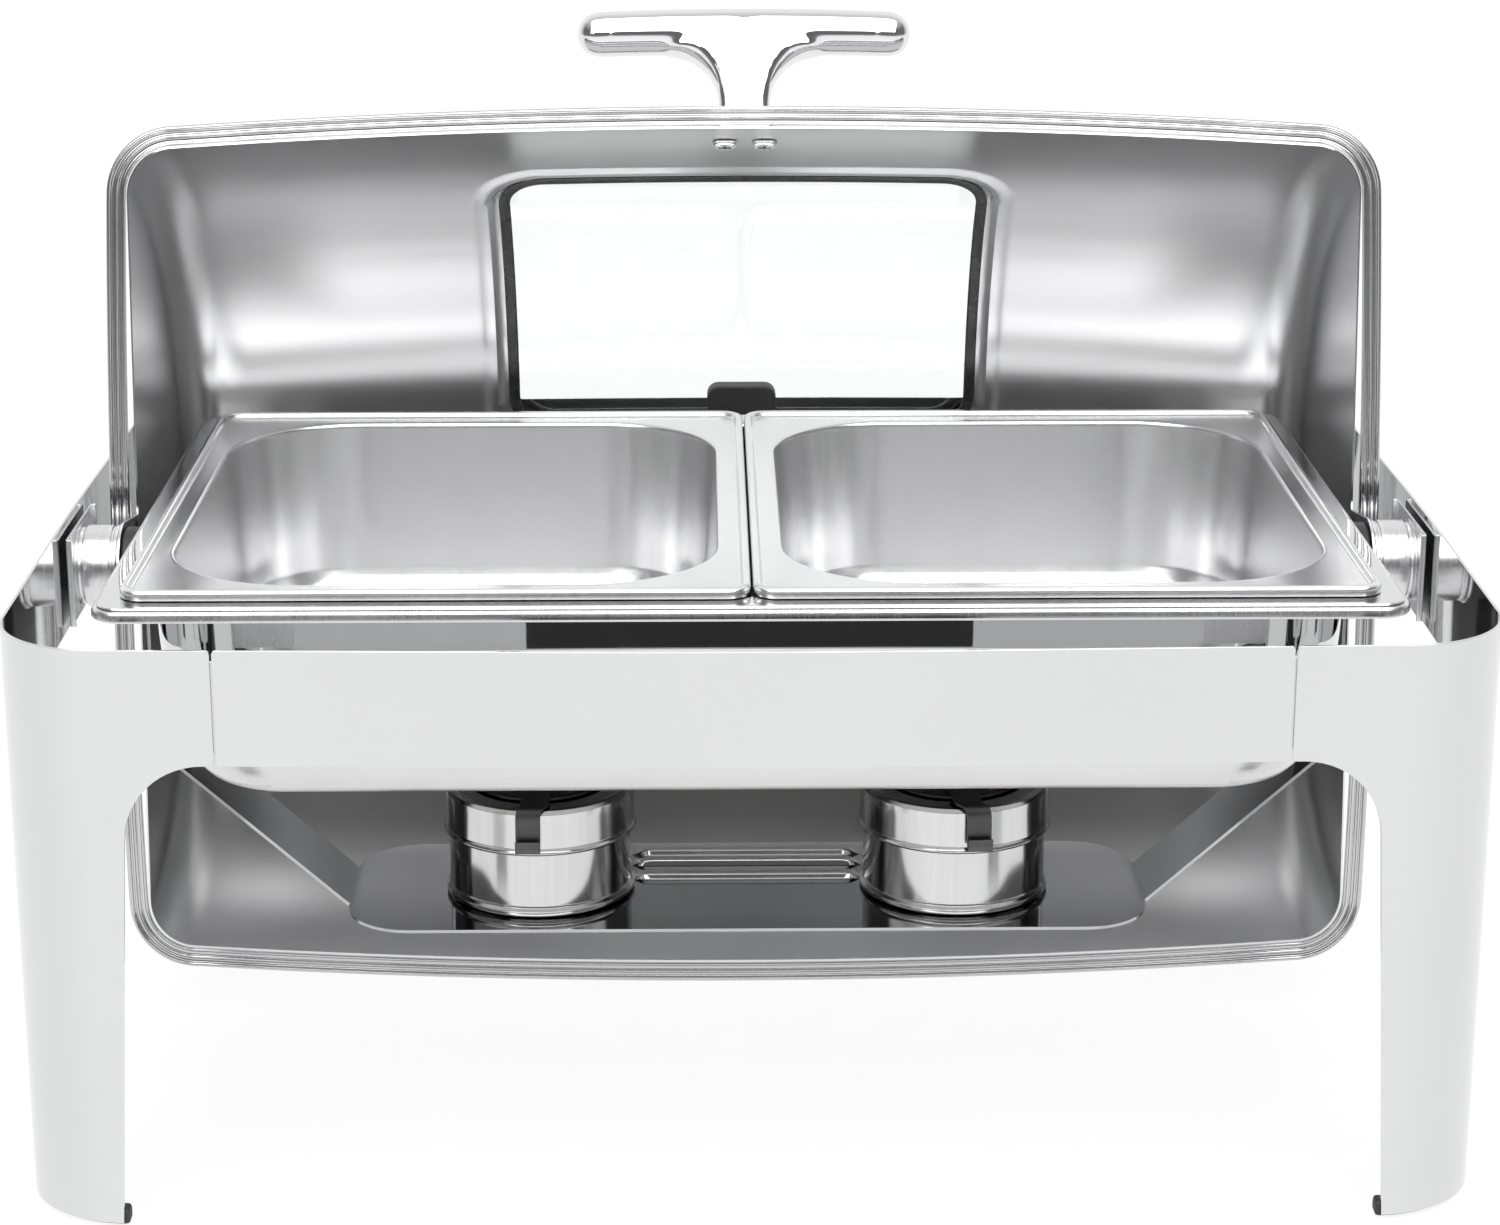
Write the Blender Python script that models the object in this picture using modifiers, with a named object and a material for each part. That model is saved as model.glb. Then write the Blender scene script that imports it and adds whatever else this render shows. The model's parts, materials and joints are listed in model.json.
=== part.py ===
"""A roll-top chafing dish: two food pans in a water pan, a lid that rolls over them, and two burners.

Metres, +Z up, the table at z = 0, the front towards -Y, the lid's axle along X over the origin.
"""

from math import atan2, cos, pi, radians, sin, sqrt

import bmesh
import bpy
from mathutils import Matrix, Vector

MM = 0.001
GAP = 0.3

# The levels, in millimetres over the table
RIM_Z = 257.5
PIVOT_Z = 227.5
BAND_TOP = 254.5
BAND_BOTTOM = 205.5
LEG_BOTTOM = 1.8
SHELF_Z = 67.5

# The frame's outline in plan
SIDE_X = 310.5
FRONT_Y = 220.0
CORNER_R = 47.0
FRONT_BOW = 6.0
SIDE_BOW = 2.0
SHEET = 1.2
SEAM_X = 218.2
STRIP_HALF = 100.0

# The lid, in its own axes: the axle at the origin and the dome up
LID_OPEN = radians(-97.1)
SHELL_R = 202.0
SHELL_SAG = 7.6
SHELL_END = 287.2
SHELL_FILLET = 22.0
SHELL_T = 0.8
LID_EDGE = 31.5
HANDLE_AT = radians(162.0)
WINDOW_AT = radians(124.5)

# The two pans and the two burners
PAN_X = 132.6
BURNER_X = 98.5
CUP_R = 43.1


def clear_scene():
    for obj in list(bpy.data.objects):
        bpy.data.objects.remove(obj, do_unlink=True)
    for group in list(bpy.data.collections):
        bpy.data.collections.remove(group)


def new_collection(name, hidden=False):
    group = bpy.data.collections.new(name)
    bpy.context.scene.collection.children.link(group)
    group.hide_render = hidden
    return group


clear_scene()
PARTS = new_collection("roll_top_chafing_dish")
CUTTERS = new_collection("cutters", hidden=True)


# Materials ------------------------------------------------------------------


def material(name, colour, metallic, roughness, transmission=0.0):
    made = bpy.data.materials.new(name)
    made.use_nodes = True
    shader = made.node_tree.nodes["Principled BSDF"]
    shader.inputs["Base Color"].default_value = (*colour, 1.0)
    shader.inputs["Metallic"].default_value = metallic
    shader.inputs["Roughness"].default_value = roughness
    shader.inputs["Transmission Weight"].default_value = transmission
    made.diffuse_color = (*colour, 1.0)
    return made


MIRROR_STEEL = ((0.74, 0.74, 0.75), 1.0, 0.08)
SATIN_STEEL = ((0.62, 0.62, 0.63), 1.0, 0.3)
CHROME = ((0.8, 0.8, 0.82), 1.0, 0.06)
DARK_STEEL = ((0.12, 0.12, 0.13), 0.9, 0.35)
BLACK_RUBBER = ((0.02, 0.02, 0.02), 0.0, 0.7)
CLEAR_GLASS = ((0.9, 0.95, 0.95), 0.0, 0.05, 0.9)


# Shapes ---------------------------------------------------------------------


def add(name, mesh, look, parent=None, group=None):
    """An object of this mesh, in the parts' collection, with a material of its own."""
    obj = bpy.data.objects.new(name, mesh)
    (group or PARTS).objects.link(obj)
    if look:
        mesh.materials.append(material(name + "_finish", *look))
    if parent:
        obj.parent = parent
    return obj


def smooth(mesh):
    mesh.shade_smooth()
    mesh.set_sharp_from_angle(angle=radians(35))


def mesh_of(bm, name):
    bmesh.ops.recalc_face_normals(bm, faces=bm.faces)
    mesh = bpy.data.meshes.new(name)
    bm.to_mesh(mesh)
    bm.free()
    smooth(mesh)
    return mesh


def loft(name, loops, look, parent=None, ring=False, caps=(True, True), group=None):
    """A skin through closed loops of the same number of points. ring joins the last loop to the first."""
    bm = bmesh.new()
    rows = [[bm.verts.new(Vector(p) * MM) for p in loop] for loop in loops]
    pairs = list(zip(rows, rows[1:]))
    if ring:
        pairs.append((rows[-1], rows[0]))
    for a, b in pairs:
        for i in range(len(a)):
            j = (i + 1) % len(a)
            bm.faces.new((a[i], a[j], b[j], b[i]))
    if not ring and caps[0]:
        bm.faces.new(rows[0])
    if not ring and caps[1]:
        bm.faces.new(rows[-1])
    return add(name, mesh_of(bm, name), look, parent, group)


def sheet(name, rows, look, thickness, side=-1.0, up=None, parent=None, group=None):
    """A grid of points as a thin sheet. Its faces turn towards up, and the thickness goes to the given side."""
    bm = bmesh.new()
    grid = [[bm.verts.new(Vector(p) * MM) for p in row] for row in rows]
    for a, b in zip(grid, grid[1:]):
        for i in range(len(a) - 1):
            bm.faces.new((a[i], a[i + 1], b[i + 1], b[i]))
    bmesh.ops.recalc_face_normals(bm, faces=bm.faces)
    bm.faces.ensure_lookup_table()
    face = bm.faces[len(bm.faces) // 2]
    if up is not None and face.normal.dot(up(face.calc_center_median() / MM)) < 0:
        bmesh.ops.reverse_faces(bm, faces=bm.faces)
    mesh = bpy.data.meshes.new(name)
    bm.to_mesh(mesh)
    bm.free()
    smooth(mesh)
    obj = add(name, mesh, look, parent, group)
    thicken(obj, thickness, side)
    return obj


def thicken(obj, thickness, side=-1.0):
    made = obj.modifiers.new("thickness", "SOLIDIFY")
    made.thickness = thickness * MM
    made.offset = side
    made.use_even_offset = True


def rounded(hx, hy, r, z, cx=0.0, cy=0.0, steps=5):
    """A rounded rectangle's points at height z, the same number whatever its size."""
    points = []
    for quarter, (sx, sy) in enumerate(((1, 1), (-1, 1), (-1, -1), (1, -1))):
        for k in range(steps + 1):
            a = pi / 2 * (quarter + k / steps)
            points.append(
                (cx + sx * (hx - r) + r * cos(a), cy + sy * (hy - r) + r * sin(a), z)
            )
    return points


def filleted(corners, steps=6):
    """A flat outline through (a, b, radius) corners, each rounded by its radius."""
    points = []
    count = len(corners)
    for i, (a, b, r) in enumerate(corners):
        here = Vector((a, b))
        if r <= 0:
            points.append((a, b))
            continue
        back = (Vector(corners[i - 1][:2]) - here).normalized()
        ahead = (Vector(corners[(i + 1) % count][:2]) - here).normalized()
        half = back.angle(ahead) / 2
        centre = here + (back + ahead).normalized() * (r / sin(half))
        start = here + back * (r / (sin(half) / cos(half)))
        end = here + ahead * (r / (sin(half) / cos(half)))
        first = atan2(start.y - centre.y, start.x - centre.x)
        turn = atan2(end.y - centre.y, end.x - centre.x) - first
        turn = (turn + pi) % (2 * pi) - pi
        for k in range(steps + 1):
            angle = first + turn * k / steps
            points.append((centre.x + r * cos(angle), centre.y + r * sin(angle)))
    return points


def flat_piece(name, outline, axis, low, high, look=None, parent=None, group=None):
    """A flat outline made thick along an axis: 0 has it in YZ, 1 in XZ, 2 in XY."""
    curve = bpy.data.curves.new(name + "_outline", "CURVE")
    curve.dimensions = "2D"
    curve.fill_mode = "BOTH"
    curve.extrude = abs(high - low) / 2 * MM
    spline = curve.splines.new("POLY")
    spline.points.add(len(outline) - 1)
    for point, (a, b) in zip(spline.points, outline):
        point.co = (a * MM, b * MM, 0.0, 1.0)
    spline.use_cyclic_u = True
    drawn = bpy.data.objects.new(name + "_outline", curve)
    PARTS.objects.link(drawn)
    graph = bpy.context.evaluated_depsgraph_get()
    mesh = bpy.data.meshes.new_from_object(drawn.evaluated_get(graph))
    bpy.data.objects.remove(drawn, do_unlink=True)
    middle = (low + high) / 2 * MM
    turn = {
        0: Matrix(((0, 0, 1, middle), (1, 0, 0, 0), (0, 1, 0, 0), (0, 0, 0, 1))),
        1: Matrix(((1, 0, 0, 0), (0, 0, 1, middle), (0, 1, 0, 0), (0, 0, 0, 1))),
        2: Matrix.Translation((0, 0, middle)),
    }[axis]
    bm = bmesh.new()
    bm.from_mesh(mesh)
    bpy.data.meshes.remove(mesh)
    bmesh.ops.transform(bm, matrix=turn, verts=bm.verts)
    bmesh.ops.remove_doubles(bm, verts=bm.verts, dist=0.00001)
    return add(name, mesh_of(bm, name), look, parent, group)


def cutter(name, outline, axis, low, high):
    return as_cutter(flat_piece("cut_" + name, outline, axis, low, high, group=CUTTERS))


def as_cutter(obj):
    obj.hide_render = True
    obj.display_type = "WIRE"
    return obj


def combine(obj, other, operation="DIFFERENCE"):
    made = obj.modifiers.new(operation.lower() + "_" + other.name, "BOOLEAN")
    made.operation = operation
    made.solver = "EXACT"
    made.object = other


ALONG_X = Matrix.Rotation(pi / 2, 4, "Y")


def cylinder(name, radius, length, look, parent=None, group=None, steps=24, turn=ALONG_X):
    """A cylinder, or with few steps a prism, centred on its object's origin."""
    bm = bmesh.new()
    bmesh.ops.create_cone(
        bm,
        cap_ends=True,
        segments=steps,
        radius1=radius * MM,
        radius2=radius * MM,
        depth=length * MM,
        matrix=turn,
    )
    return add(name, mesh_of(bm, name), look, parent, group)


def bore(name, x_from, x_to, y, z, radius, parent=None, steps=24):
    length = abs(x_to - x_from)
    made = cylinder("cut_" + name, radius, length, None, parent, CUTTERS, steps)
    made.location = Vector(((x_from + x_to) / 2, y, z)) * MM
    return as_cutter(made)


def turned(name, stations, look, parent=None, axis="Z", at=(0, 0, 0), ring=False, steps=28):
    """A turned piece from (radius, distance along the axis) stations, which a ring closes into a loop."""
    profile = list(stations)
    if not ring and profile[0][0] > 0:
        profile.insert(0, (0.0, profile[0][1]))
    if not ring and profile[-1][0] > 0:
        profile.append((0.0, profile[-1][1]))
    around = zip(profile, profile[1:] + profile[:1])
    if sum(r * w - q * u for (r, u), (q, w) in around) > 0:
        profile.reverse()
    bm = bmesh.new()
    if axis == "Z":
        verts = [bm.verts.new((r * MM, 0.0, u * MM)) for r, u in profile]
    else:
        verts = [bm.verts.new((u * MM, r * MM, 0.0)) for r, u in profile]
    for first, second in zip(verts, verts[1:]):
        bm.edges.new((first, second))
    if ring:
        bm.edges.new((verts[-1], verts[0]))
    mesh = bpy.data.meshes.new(name)
    bm.to_mesh(mesh)
    bm.free()
    obj = add(name, mesh, look, parent)
    obj.location = Vector(at) * MM
    screw = obj.modifiers.new("turned", "SCREW")
    screw.axis = axis
    screw.steps = steps
    screw.render_steps = steps
    screw.use_merge_vertices = True
    screw.merge_threshold = 0.00001
    screw.use_smooth_shade = True
    return obj


def empty(name, location, parent=None, rotation=(0.0, 0.0, 0.0)):
    """A joint's axis or seat, as an empty that its parts hang from."""
    made = bpy.data.objects.new(name, None)
    made.empty_display_size = 0.03
    PARTS.objects.link(made)
    made.location = Vector(location) * MM
    made.rotation_euler = rotation
    made.parent = parent
    return made


# Seats and axes: each moving part hangs from the empty on its own axis
FRAME = empty("frame_seat", (0, 0, 0))
LID = empty("lid_axle", (0, 0, PIVOT_Z), FRAME, (LID_OPEN, 0.0, 0.0))
WATER = empty("water_pan_seat", (0, 0, RIM_Z), FRAME)


# The frame ------------------------------------------------------------------


def plan_point(x, y):
    """A point of the plain rounded rectangle, moved out by the slight bow of each side."""
    out_y = FRONT_BOW / 2 * (1 + cos(pi * min(abs(x), SIDE_X) / SIDE_X))
    out_x = SIDE_BOW / 2 * (1 + cos(pi * min(abs(y), FRONT_Y) / FRONT_Y))
    share_y = min(1.0, max(0.0, abs(y) / FRONT_Y)) ** 4
    share_x = min(1.0, max(0.0, abs(x) / SIDE_X)) ** 4
    sx = 1 if x > 0 else -1
    sy = 1 if y > 0 else -1
    return x + sx * out_x * share_x, y + sy * out_y * share_y


def side_path(sign, inset=0.0):
    """The plan of one side frame, from the front seam round to the rear seam."""
    flat_x = SIDE_X - CORNER_R
    flat_y = FRONT_Y - CORNER_R
    r = CORNER_R - inset
    half = [(sign * (SEAM_X + (flat_x - SEAM_X) * k / 3), -FRONT_Y + inset) for k in range(3)]
    for k in range(9):
        a = pi / 2 * k / 8
        half.append((sign * (flat_x + r * sin(a)), -(flat_y + r * cos(a))))
    side = [(sign * (SIDE_X - inset), -flat_y + flat_y * k / 5) for k in range(1, 6)]
    front = half + side
    back = [(x, -y) for x, y in reversed(front[:-1])]
    return [plan_point(x, y) for x, y in front + back]


def outward(point):
    return Vector((point.x * 0.2 if abs(point.x) < 250 else point.x, point.y, 0.0))


def standing(name, path, low, high, look, thickness=SHEET):
    rows = [[(x, y, z) for x, y in path] for z in (low, high)]
    return sheet(name, rows, look, thickness, -1.0, outward, FRAME)


FRONT_ARCH = cutter(
    "front_arch",
    filleted(
        [(-266.2, -10, 0), (-254.6, BAND_BOTTOM, 33), (254.6, BAND_BOTTOM, 33), (266.2, -10, 0)]
    ),
    1,
    -280,
    280,
)
SIDE_ARCH = cutter(
    "side_arch",
    filleted(
        [(-174.5, -10, 0), (-163.0, BAND_BOTTOM, 33), (163.0, BAND_BOTTOM, 33), (174.5, -10, 0)]
    ),
    0,
    -360,
    360,
)

for side, sign in (("left", -1), ("right", 1)):
    frame = standing("side_frame_" + side, side_path(sign), LEG_BOTTOM, BAND_TOP, MIRROR_STEEL)
    combine(frame, FRONT_ARCH)
    combine(frame, SIDE_ARCH)


def band_path(sign, from_x, to_x, inset=0.0, steps=12):
    xs = [from_x + (to_x - from_x) * k / steps for k in range(steps + 1)]
    return [plan_point(x, sign * (FRONT_Y - inset)) for x in xs]


for end, sign in (("front", -1), ("rear", 1)):
    edge = SEAM_X - 0.4
    path = band_path(sign, -edge, edge)
    standing(end + "_band", path, BAND_BOTTOM, BAND_TOP, MIRROR_STEEL)
    for side, hand in (("left", -1), ("right", 1)):
        path = band_path(sign, hand * SEAM_X - 15, hand * SEAM_X + 15, SHEET + GAP, 2)
        name = "band_splice_" + end + "_" + side
        standing(name, path, BAND_BOTTOM + 5, BAND_TOP - 5, SATIN_STEEL)

# A soft strip inside the front band keeps the water pan from knocking on it
path = band_path(-1, -STRIP_HALF, STRIP_HALF, SHEET + GAP)
standing("front_pad", path, BAND_BOTTOM + 2, BAND_TOP - 2.5, BLACK_RUBBER)

# Each leg stands on a pad set inside its rounded corner
for end, sign_y in (("front", -1), ("rear", 1)):
    for side, sign_x in (("left", -1), ("right", 1)):
        centre_x = SIDE_X - CORNER_R
        centre_y = FRONT_Y - CORNER_R
        arc = [radians(-3.5 + 97 * k / 10) for k in range(11)]
        outer = CORNER_R - SHEET - 0.4
        outline = [(outer * cos(a), outer * sin(a)) for a in arc]
        outline += [((outer - 8) * cos(a), (outer - 8) * sin(a)) for a in reversed(arc)]
        placed = [(sign_x * (centre_x + a), sign_y * (centre_y + b)) for a, b in outline]
        flat_piece("foot_" + end + "_" + side, placed, 2, 0.0, 9.0, BLACK_RUBBER, FRAME)


# The hinges, the carrier and the fuel shelf ----------------------------------

PLATE = filleted([(-32, 207.5, 5), (32, 207.5, 5), (32, 248.5, 5), (-32, 248.5, 5)])
BOSS = ((19.3, 309.2), (19.3, 308.2), (18.2, 307.0), (19.0, 305.6), (19.0, 291.8), (18.0, 290.0))
SHAFT = ((5.4, 308.8), (6.0, 308.2), (6.0, 267.2), (5.4, 266.6))
SPACER = ((17.0, 288.0), (18.0, 287.0), (18.0, 279.0), (15.5, 276.4))
BORE_R = 6.3


def handed(stations, sign):
    return [(r, sign * x) for r, x in stations]


def bored(stations):
    """The stations, closed along the bore that the shaft runs in."""
    return [*stations, (BORE_R, stations[-1][1]), (BORE_R, stations[0][1])]


AXLE = (0, 0, PIVOT_Z)
for side, s in (("left", -1), ("right", 1)):
    flat_piece("hinge_plate_" + side, PLATE, 0, s * 310.9, s * 309.6, SATIN_STEEL, FRAME)
    turned("hinge_boss_" + side, handed(bored(BOSS), s), SATIN_STEEL, FRAME, "X", AXLE, True)
    turned("pivot_shaft_" + side, handed(SHAFT, s), CHROME, FRAME, "X", AXLE, steps=20)
    turned("friction_spacer_" + side, handed(bored(SPACER), s), BLACK_RUBBER, FRAME, "X", AXLE, True)
    nut = cylinder("shaft_nut_" + side, 10.5, 5.0, SATIN_STEEL, FRAME, steps=6)
    nut.location = Vector((s * 270.7, 0, PIVOT_Z)) * MM
    combine(nut, bore("nut_" + side, s * 260, s * 280, 0, PIVOT_Z, BORE_R, FRAME))

CARRIER_SECTION = [
    (275.3, 174.5, 13.0, 252.6),
    (275.3, 174.5, 13.0, 255.2),
    (274.4, 173.6, 12.1, 256.3),
    (266.4, 164.4, 6.0, 256.3),
    (266.4, 164.4, 6.0, 251.4),
    (274.2, 173.4, 12.0, 251.4),
]
loft("pan_carrier", [rounded(*row) for row in CARRIER_SECTION], SATIN_STEEL, FRAME, ring=True)

ARM_X = 274.8
BEND_Z = 146.5
SHELF_END = 187.0
SHELF_HALF = 56.5
ARM_HALF = 24.0


def shelf_half_width(x):
    """Half the shelf's depth in Y at x: its ends are rounded and narrow to the straps."""
    inner = SHELF_END - 30
    over = max(0.0, abs(x) - inner)
    return SHELF_HALF - 30 + sqrt(max(0.0, 900 - over * over))


def hanger_rows():
    """The hanger from its left arm, down the strap, along the shelf and up to the right arm."""
    rows = [(-ARM_X, 250.9, ARM_HALF), (-ARM_X, 200.0, ARM_HALF), (-ARM_X, BEND_Z + 4, ARM_HALF)]
    rows += [(-ARM_X + 1.0, BEND_Z + 0.6, ARM_HALF), (-ARM_X + 4, BEND_Z - 3.4, ARM_HALF)]
    rows += [(-SHELF_END - 4.5, SHELF_Z + 4.0, ARM_HALF), (-SHELF_END - 1.5, SHELF_Z + 1.5, ARM_HALF)]
    stations = (186.6, 185, 181, 175, 167, 157, 140, 105, 70, 35)
    left = [(-x, SHELF_Z, shelf_half_width(x)) for x in stations]
    left[0] = (-SHELF_END + 0.4, SHELF_Z + 0.3, shelf_half_width(186.6))
    rows += left + [(0.0, SHELF_Z, SHELF_HALF)]
    rows += [(-x, z, w) for x, z, w in reversed(rows[:-1])]
    return [[(x, -w, z), (x, -w / 3, z), (x, w / 3, z), (x, w, z)] for x, z, w in rows]


hanger = sheet(
    "fuel_hanger",
    hanger_rows(),
    MIRROR_STEEL,
    1.5,
    -1.0,
    lambda p: Vector((0, 0, 1)),
    FRAME,
)
combine(hanger, bore("arms", -300, 300, 0, PIVOT_Z, BORE_R, FRAME))

BUMPER = filleted([(219.2, 244.5, 2), (232.2, 244.5, 2), (232.2, 261.5, 5), (219.2, 261.5, 5)], 4)
bumper = flat_piece("rear_bumper", BUMPER, 0, -18.0, 18.0, BLACK_RUBBER, FRAME)
SLOT = [(224.3, 240.0), (226.5, 240.0), (226.5, BAND_TOP + 0.4), (224.3, BAND_TOP + 0.4)]
combine(bumper, cutter("bumper_slot", SLOT, 0, -30, 30))


# The lid, in its own axes ------------------------------------------------------


def shell_radius(x):
    return SHELL_R - SHELL_SAG * (x / 250.0) ** 2


def shell_profile():
    """(x, radius) from the left end wall over the dome's slight barrel to the right end wall."""
    edge = SHELL_END - SHELL_FILLET
    top = shell_radius(edge)
    half = [(SHELL_END, r) for r in (12.0, 60.0, 110.0, 145.0)]
    for k in range(7):
        a = pi / 2 * k / 6
        half.append((edge + SHELL_FILLET * cos(a), top - SHELL_FILLET * (1 - sin(a))))
    half += [(x, shell_radius(x)) for x in (225.0, 185.0, 140.0, 95.0, 48.0)]
    return [(-x, r) for x, r in half] + [(0.0, SHELL_R)] + [(x, r) for x, r in reversed(half)]


def lid_shell():
    bm = bmesh.new()
    first = Matrix.Rotation(radians(4), 4, "X")
    verts = [bm.verts.new(first @ Vector((x * MM, r * MM, 0))) for x, r in shell_profile()]
    edges = [bm.edges.new(pair) for pair in zip(verts, verts[1:])]
    bmesh.ops.spin(
        bm,
        geom=verts + edges,
        cent=(0, 0, 0),
        axis=(1, 0, 0),
        angle=radians(172),
        steps=30,
    )
    bmesh.ops.bisect_plane(
        bm,
        geom=bm.verts[:] + bm.edges[:] + bm.faces[:],
        plane_co=(0, 0, LID_EDGE * MM),
        plane_no=(0, 0, 1),
        clear_inner=True,
    )
    bmesh.ops.recalc_face_normals(bm, faces=bm.faces)
    highest = max(bm.faces, key=lambda f: f.calc_center_median().z)
    if highest.normal.z < 0:
        bmesh.ops.reverse_faces(bm, faces=bm.faces)
    mesh = bpy.data.meshes.new("lid_shell")
    bm.to_mesh(mesh)
    bm.free()
    smooth(mesh)
    obj = add("lid_shell", mesh, MIRROR_STEEL, LID)
    thicken(obj, SHELL_T, 1.0)
    return obj


def window_rows(half_x, half_arc, corner, lift):
    """Rows of a rounded rectangle wrapped round the dome, lifted off its inner face."""
    ends = [half_arc - corner * (1 - sin(pi / 2 * k / 4)) for k in range(5)]
    widths = [half_x - corner * (1 - cos(pi / 2 * k / 4)) for k in range(5)]
    upper = list(zip(ends, widths))
    middle = [(half_arc * k / 4, half_x) for k in range(-2, 3)]
    rows = [(-s, w) for s, w in reversed(upper)] + middle + upper
    grid = []
    for s, w in rows:
        a = WINDOW_AT + s / SHELL_R
        xs = [w * k / 3 for k in range(-3, 4)]
        grid.append(
            [
                (x, (shell_radius(x) + lift) * cos(a), (shell_radius(x) + lift) * sin(a))
                for x in xs
            ]
        )
    return grid


def window_sheet(name, half_x, half_arc, corner, low, thickness, look, group=None):
    out = Vector((0, cos(WINDOW_AT), sin(WINDOW_AT)))
    rows = window_rows(half_x, half_arc, corner, low)
    return sheet(name, rows, look, thickness, 1.0, lambda p: out, LID, group)


shell = lid_shell()
opening = window_sheet("cut_window", 118.3, 83.6, 21.0, -6.0, 14.0, None, CUTTERS)
combine(shell, as_cutter(opening))
window_sheet("window_glass", 114.2, 79.5, 17.5, -0.4, 2.0, CLEAR_GLASS)
gasket = window_sheet("window_gasket", 118.0, 83.3, 20.8, -1.2, 3.6, BLACK_RUBBER)
hole = window_sheet("cut_gasket", 114.5, 79.8, 17.7, -5.0, 12.0, None, CUTTERS)
combine(gasket, as_cutter(hole))


def rim_outline(out):
    """The lid's edge seen from below, moved outward by out, with a slight bow in its short sides."""
    points = []
    for x, r in shell_profile():
        grown = r + SHELL_T
        if grown > 90:
            points.append((x, sqrt(grown * grown - LID_EDGE * LID_EDGE)))
    whole = points + [(x, -y) for x, y in reversed(points)]
    count = len(whole)
    moved = []
    for i, (x, y) in enumerate(whole):
        before = Vector(whole[i - 1])
        after = Vector(whole[(i + 1) % count])
        along = (after - before).normalized()
        normal = Vector((-along.y, along.x))
        if normal.dot(Vector((x, y))) < 0:
            normal = -normal
        place = Vector((x, y)) + normal * out
        if abs(x) > SHELL_END - 1:
            bow = 2.9 * max(0.0, 1 - (y / 172.0) ** 2) + SHELL_T
            place.x += bow if x > 0 else -bow
        elif abs(x) > SHELL_END - SHELL_FILLET:
            share = (abs(x) - (SHELL_END - SHELL_FILLET)) / SHELL_FILLET
            place.x += SHELL_T * share * (1 if x > 0 else -1)
        moved.append(place)
    thicker = []
    for i, place in enumerate(moved):
        thicker.append(place)
        follows = moved[(i + 1) % count]
        if abs(place.x) > SHELL_END - 1 and (place - follows).length > 60:
            steps = 4
            for k in range(1, steps):
                y = place.y + (follows.y - place.y) * k / steps
                base = SHELL_END + SHELL_T + out + 2.9 * (1 - (y / 172.0) ** 2)
                thicker.append(Vector((base if place.x > 0 else -base, y)))
    return thicker


RIM_SECTION = (
    (0.5, 31.2),
    (1.2, 30.3),
    (2.2, 31.1),
    (5.2, 31.3),
    (6.6, 31.1),
    (7.4, 30.2),
    (8.6, 30.3),
    (9.4, 31.6),
    (9.3, 33.8),
    (8.2, 34.9),
    (6.8, 34.4),
    (5.8, 33.0),
    (0.5, 33.0),
)
rim_loops = [[(p.x, p.y, z) for p in rim_outline(out)] for out, z in RIM_SECTION]
loft("lid_rim", rim_loops, MIRROR_STEEL, LID, ring=True)

TEARDROP = [(20 * cos(radians(a)), 20 * sin(radians(a))) for a in range(180, 361, 15)]
TEARDROP += filleted([(20, 0, 0), (17.5, 64, 8), (-17.5, 64, 8), (-20, 0, 0)], 4)[1:-1]
RIVET = ((2.0, 291.4), (3.4, 291.0), (3.8, 289.9), (2.0, 289.9), (2.0, 286.9), (3.8, 286.9))
RIVET += ((3.4, 285.9), (2.0, 285.5))
RIVET_Z = 50.0
for side, s in (("left", -1), ("right", 1)):
    arm = flat_piece("lid_arm_" + side, TEARDROP, 0, s * 288.3, s * 289.6, SATIN_STEEL, LID)
    combine(arm, bore("arm_" + side, s * 270, s * 300, 0, 0, BORE_R, LID))
    for end, y in (("front", -9.0), ("rear", 9.0)):
        place = side + "_" + end
        hole = bore("rivet_" + place, s * 270, s * 300, y, RIVET_Z, 2.3, LID, 12)
        combine(arm, hole)
        combine(shell, hole)
        at = (0, y, RIVET_Z)
        turned("arm_rivet_" + place, handed(RIVET, s), SATIN_STEEL, LID, "X", at, steps=16)


def along_handle(x, out, across):
    """A point of the handle: out along its stem from the axle, and across the stem round the dome."""
    c = cos(HANDLE_AT)
    s = sin(HANDLE_AT)
    return (x, out * c - across * s, out * s + across * c)


def handle_loop(x, out, high, wide, steps=16):
    turn = [2 * pi * k / steps for k in range(steps)]
    return [along_handle(x, out + high * cos(a), wide * sin(a)) for a in turn]


BAR = (
    (78.9, 254.9, 2.6, 4.0),
    (77.6, 254.9, 6.4, 8.4),
    (73.0, 255.0, 9.0, 11.2),
    (66.0, 255.2, 9.5, 11.6),
    (50.0, 255.8, 10.0, 11.6),
    (28.0, 256.4, 10.6, 11.4),
    (0.0, 256.7, 10.9, 11.2),
)
bar_loops = [handle_loop(-x, out, high, wide) for x, out, high, wide in BAR]
bar_loops += [handle_loop(x, out, high, wide) for x, out, high, wide in reversed(BAR[:-1])]
handle = loft("lid_handle", bar_loops, CHROME, LID)


def stem_loop(out, half_x, half_across, power=0.5, steps=20):
    """A rounded oblong round the stem at this distance from the axle."""
    points = []
    for k in range(steps):
        a = 2 * pi * k / steps
        c = abs(cos(a)) ** power * (1 if cos(a) > 0 else -1)
        s = abs(sin(a)) ** power * (1 if sin(a) > 0 else -1)
        points.append(along_handle(half_x * c, out, half_across * s))
    return points


STEM = (
    (203.3, 16.5, 10.0),
    (206.0, 16.0, 9.6),
    (212.0, 13.2, 8.4),
    (220.0, 12.2, 8.0),
    (228.0, 14.0, 8.0),
    (236.0, 19.2, 8.2),
    (242.0, 27.0, 8.4),
    (245.4, 34.6, 8.4),
    (250.5, 38.6, 8.0),
)
stem = loft("cut_stem", [stem_loop(*row) for row in STEM], None, LID, group=CUTTERS)
combine(handle, as_cutter(stem), "UNION")


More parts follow.
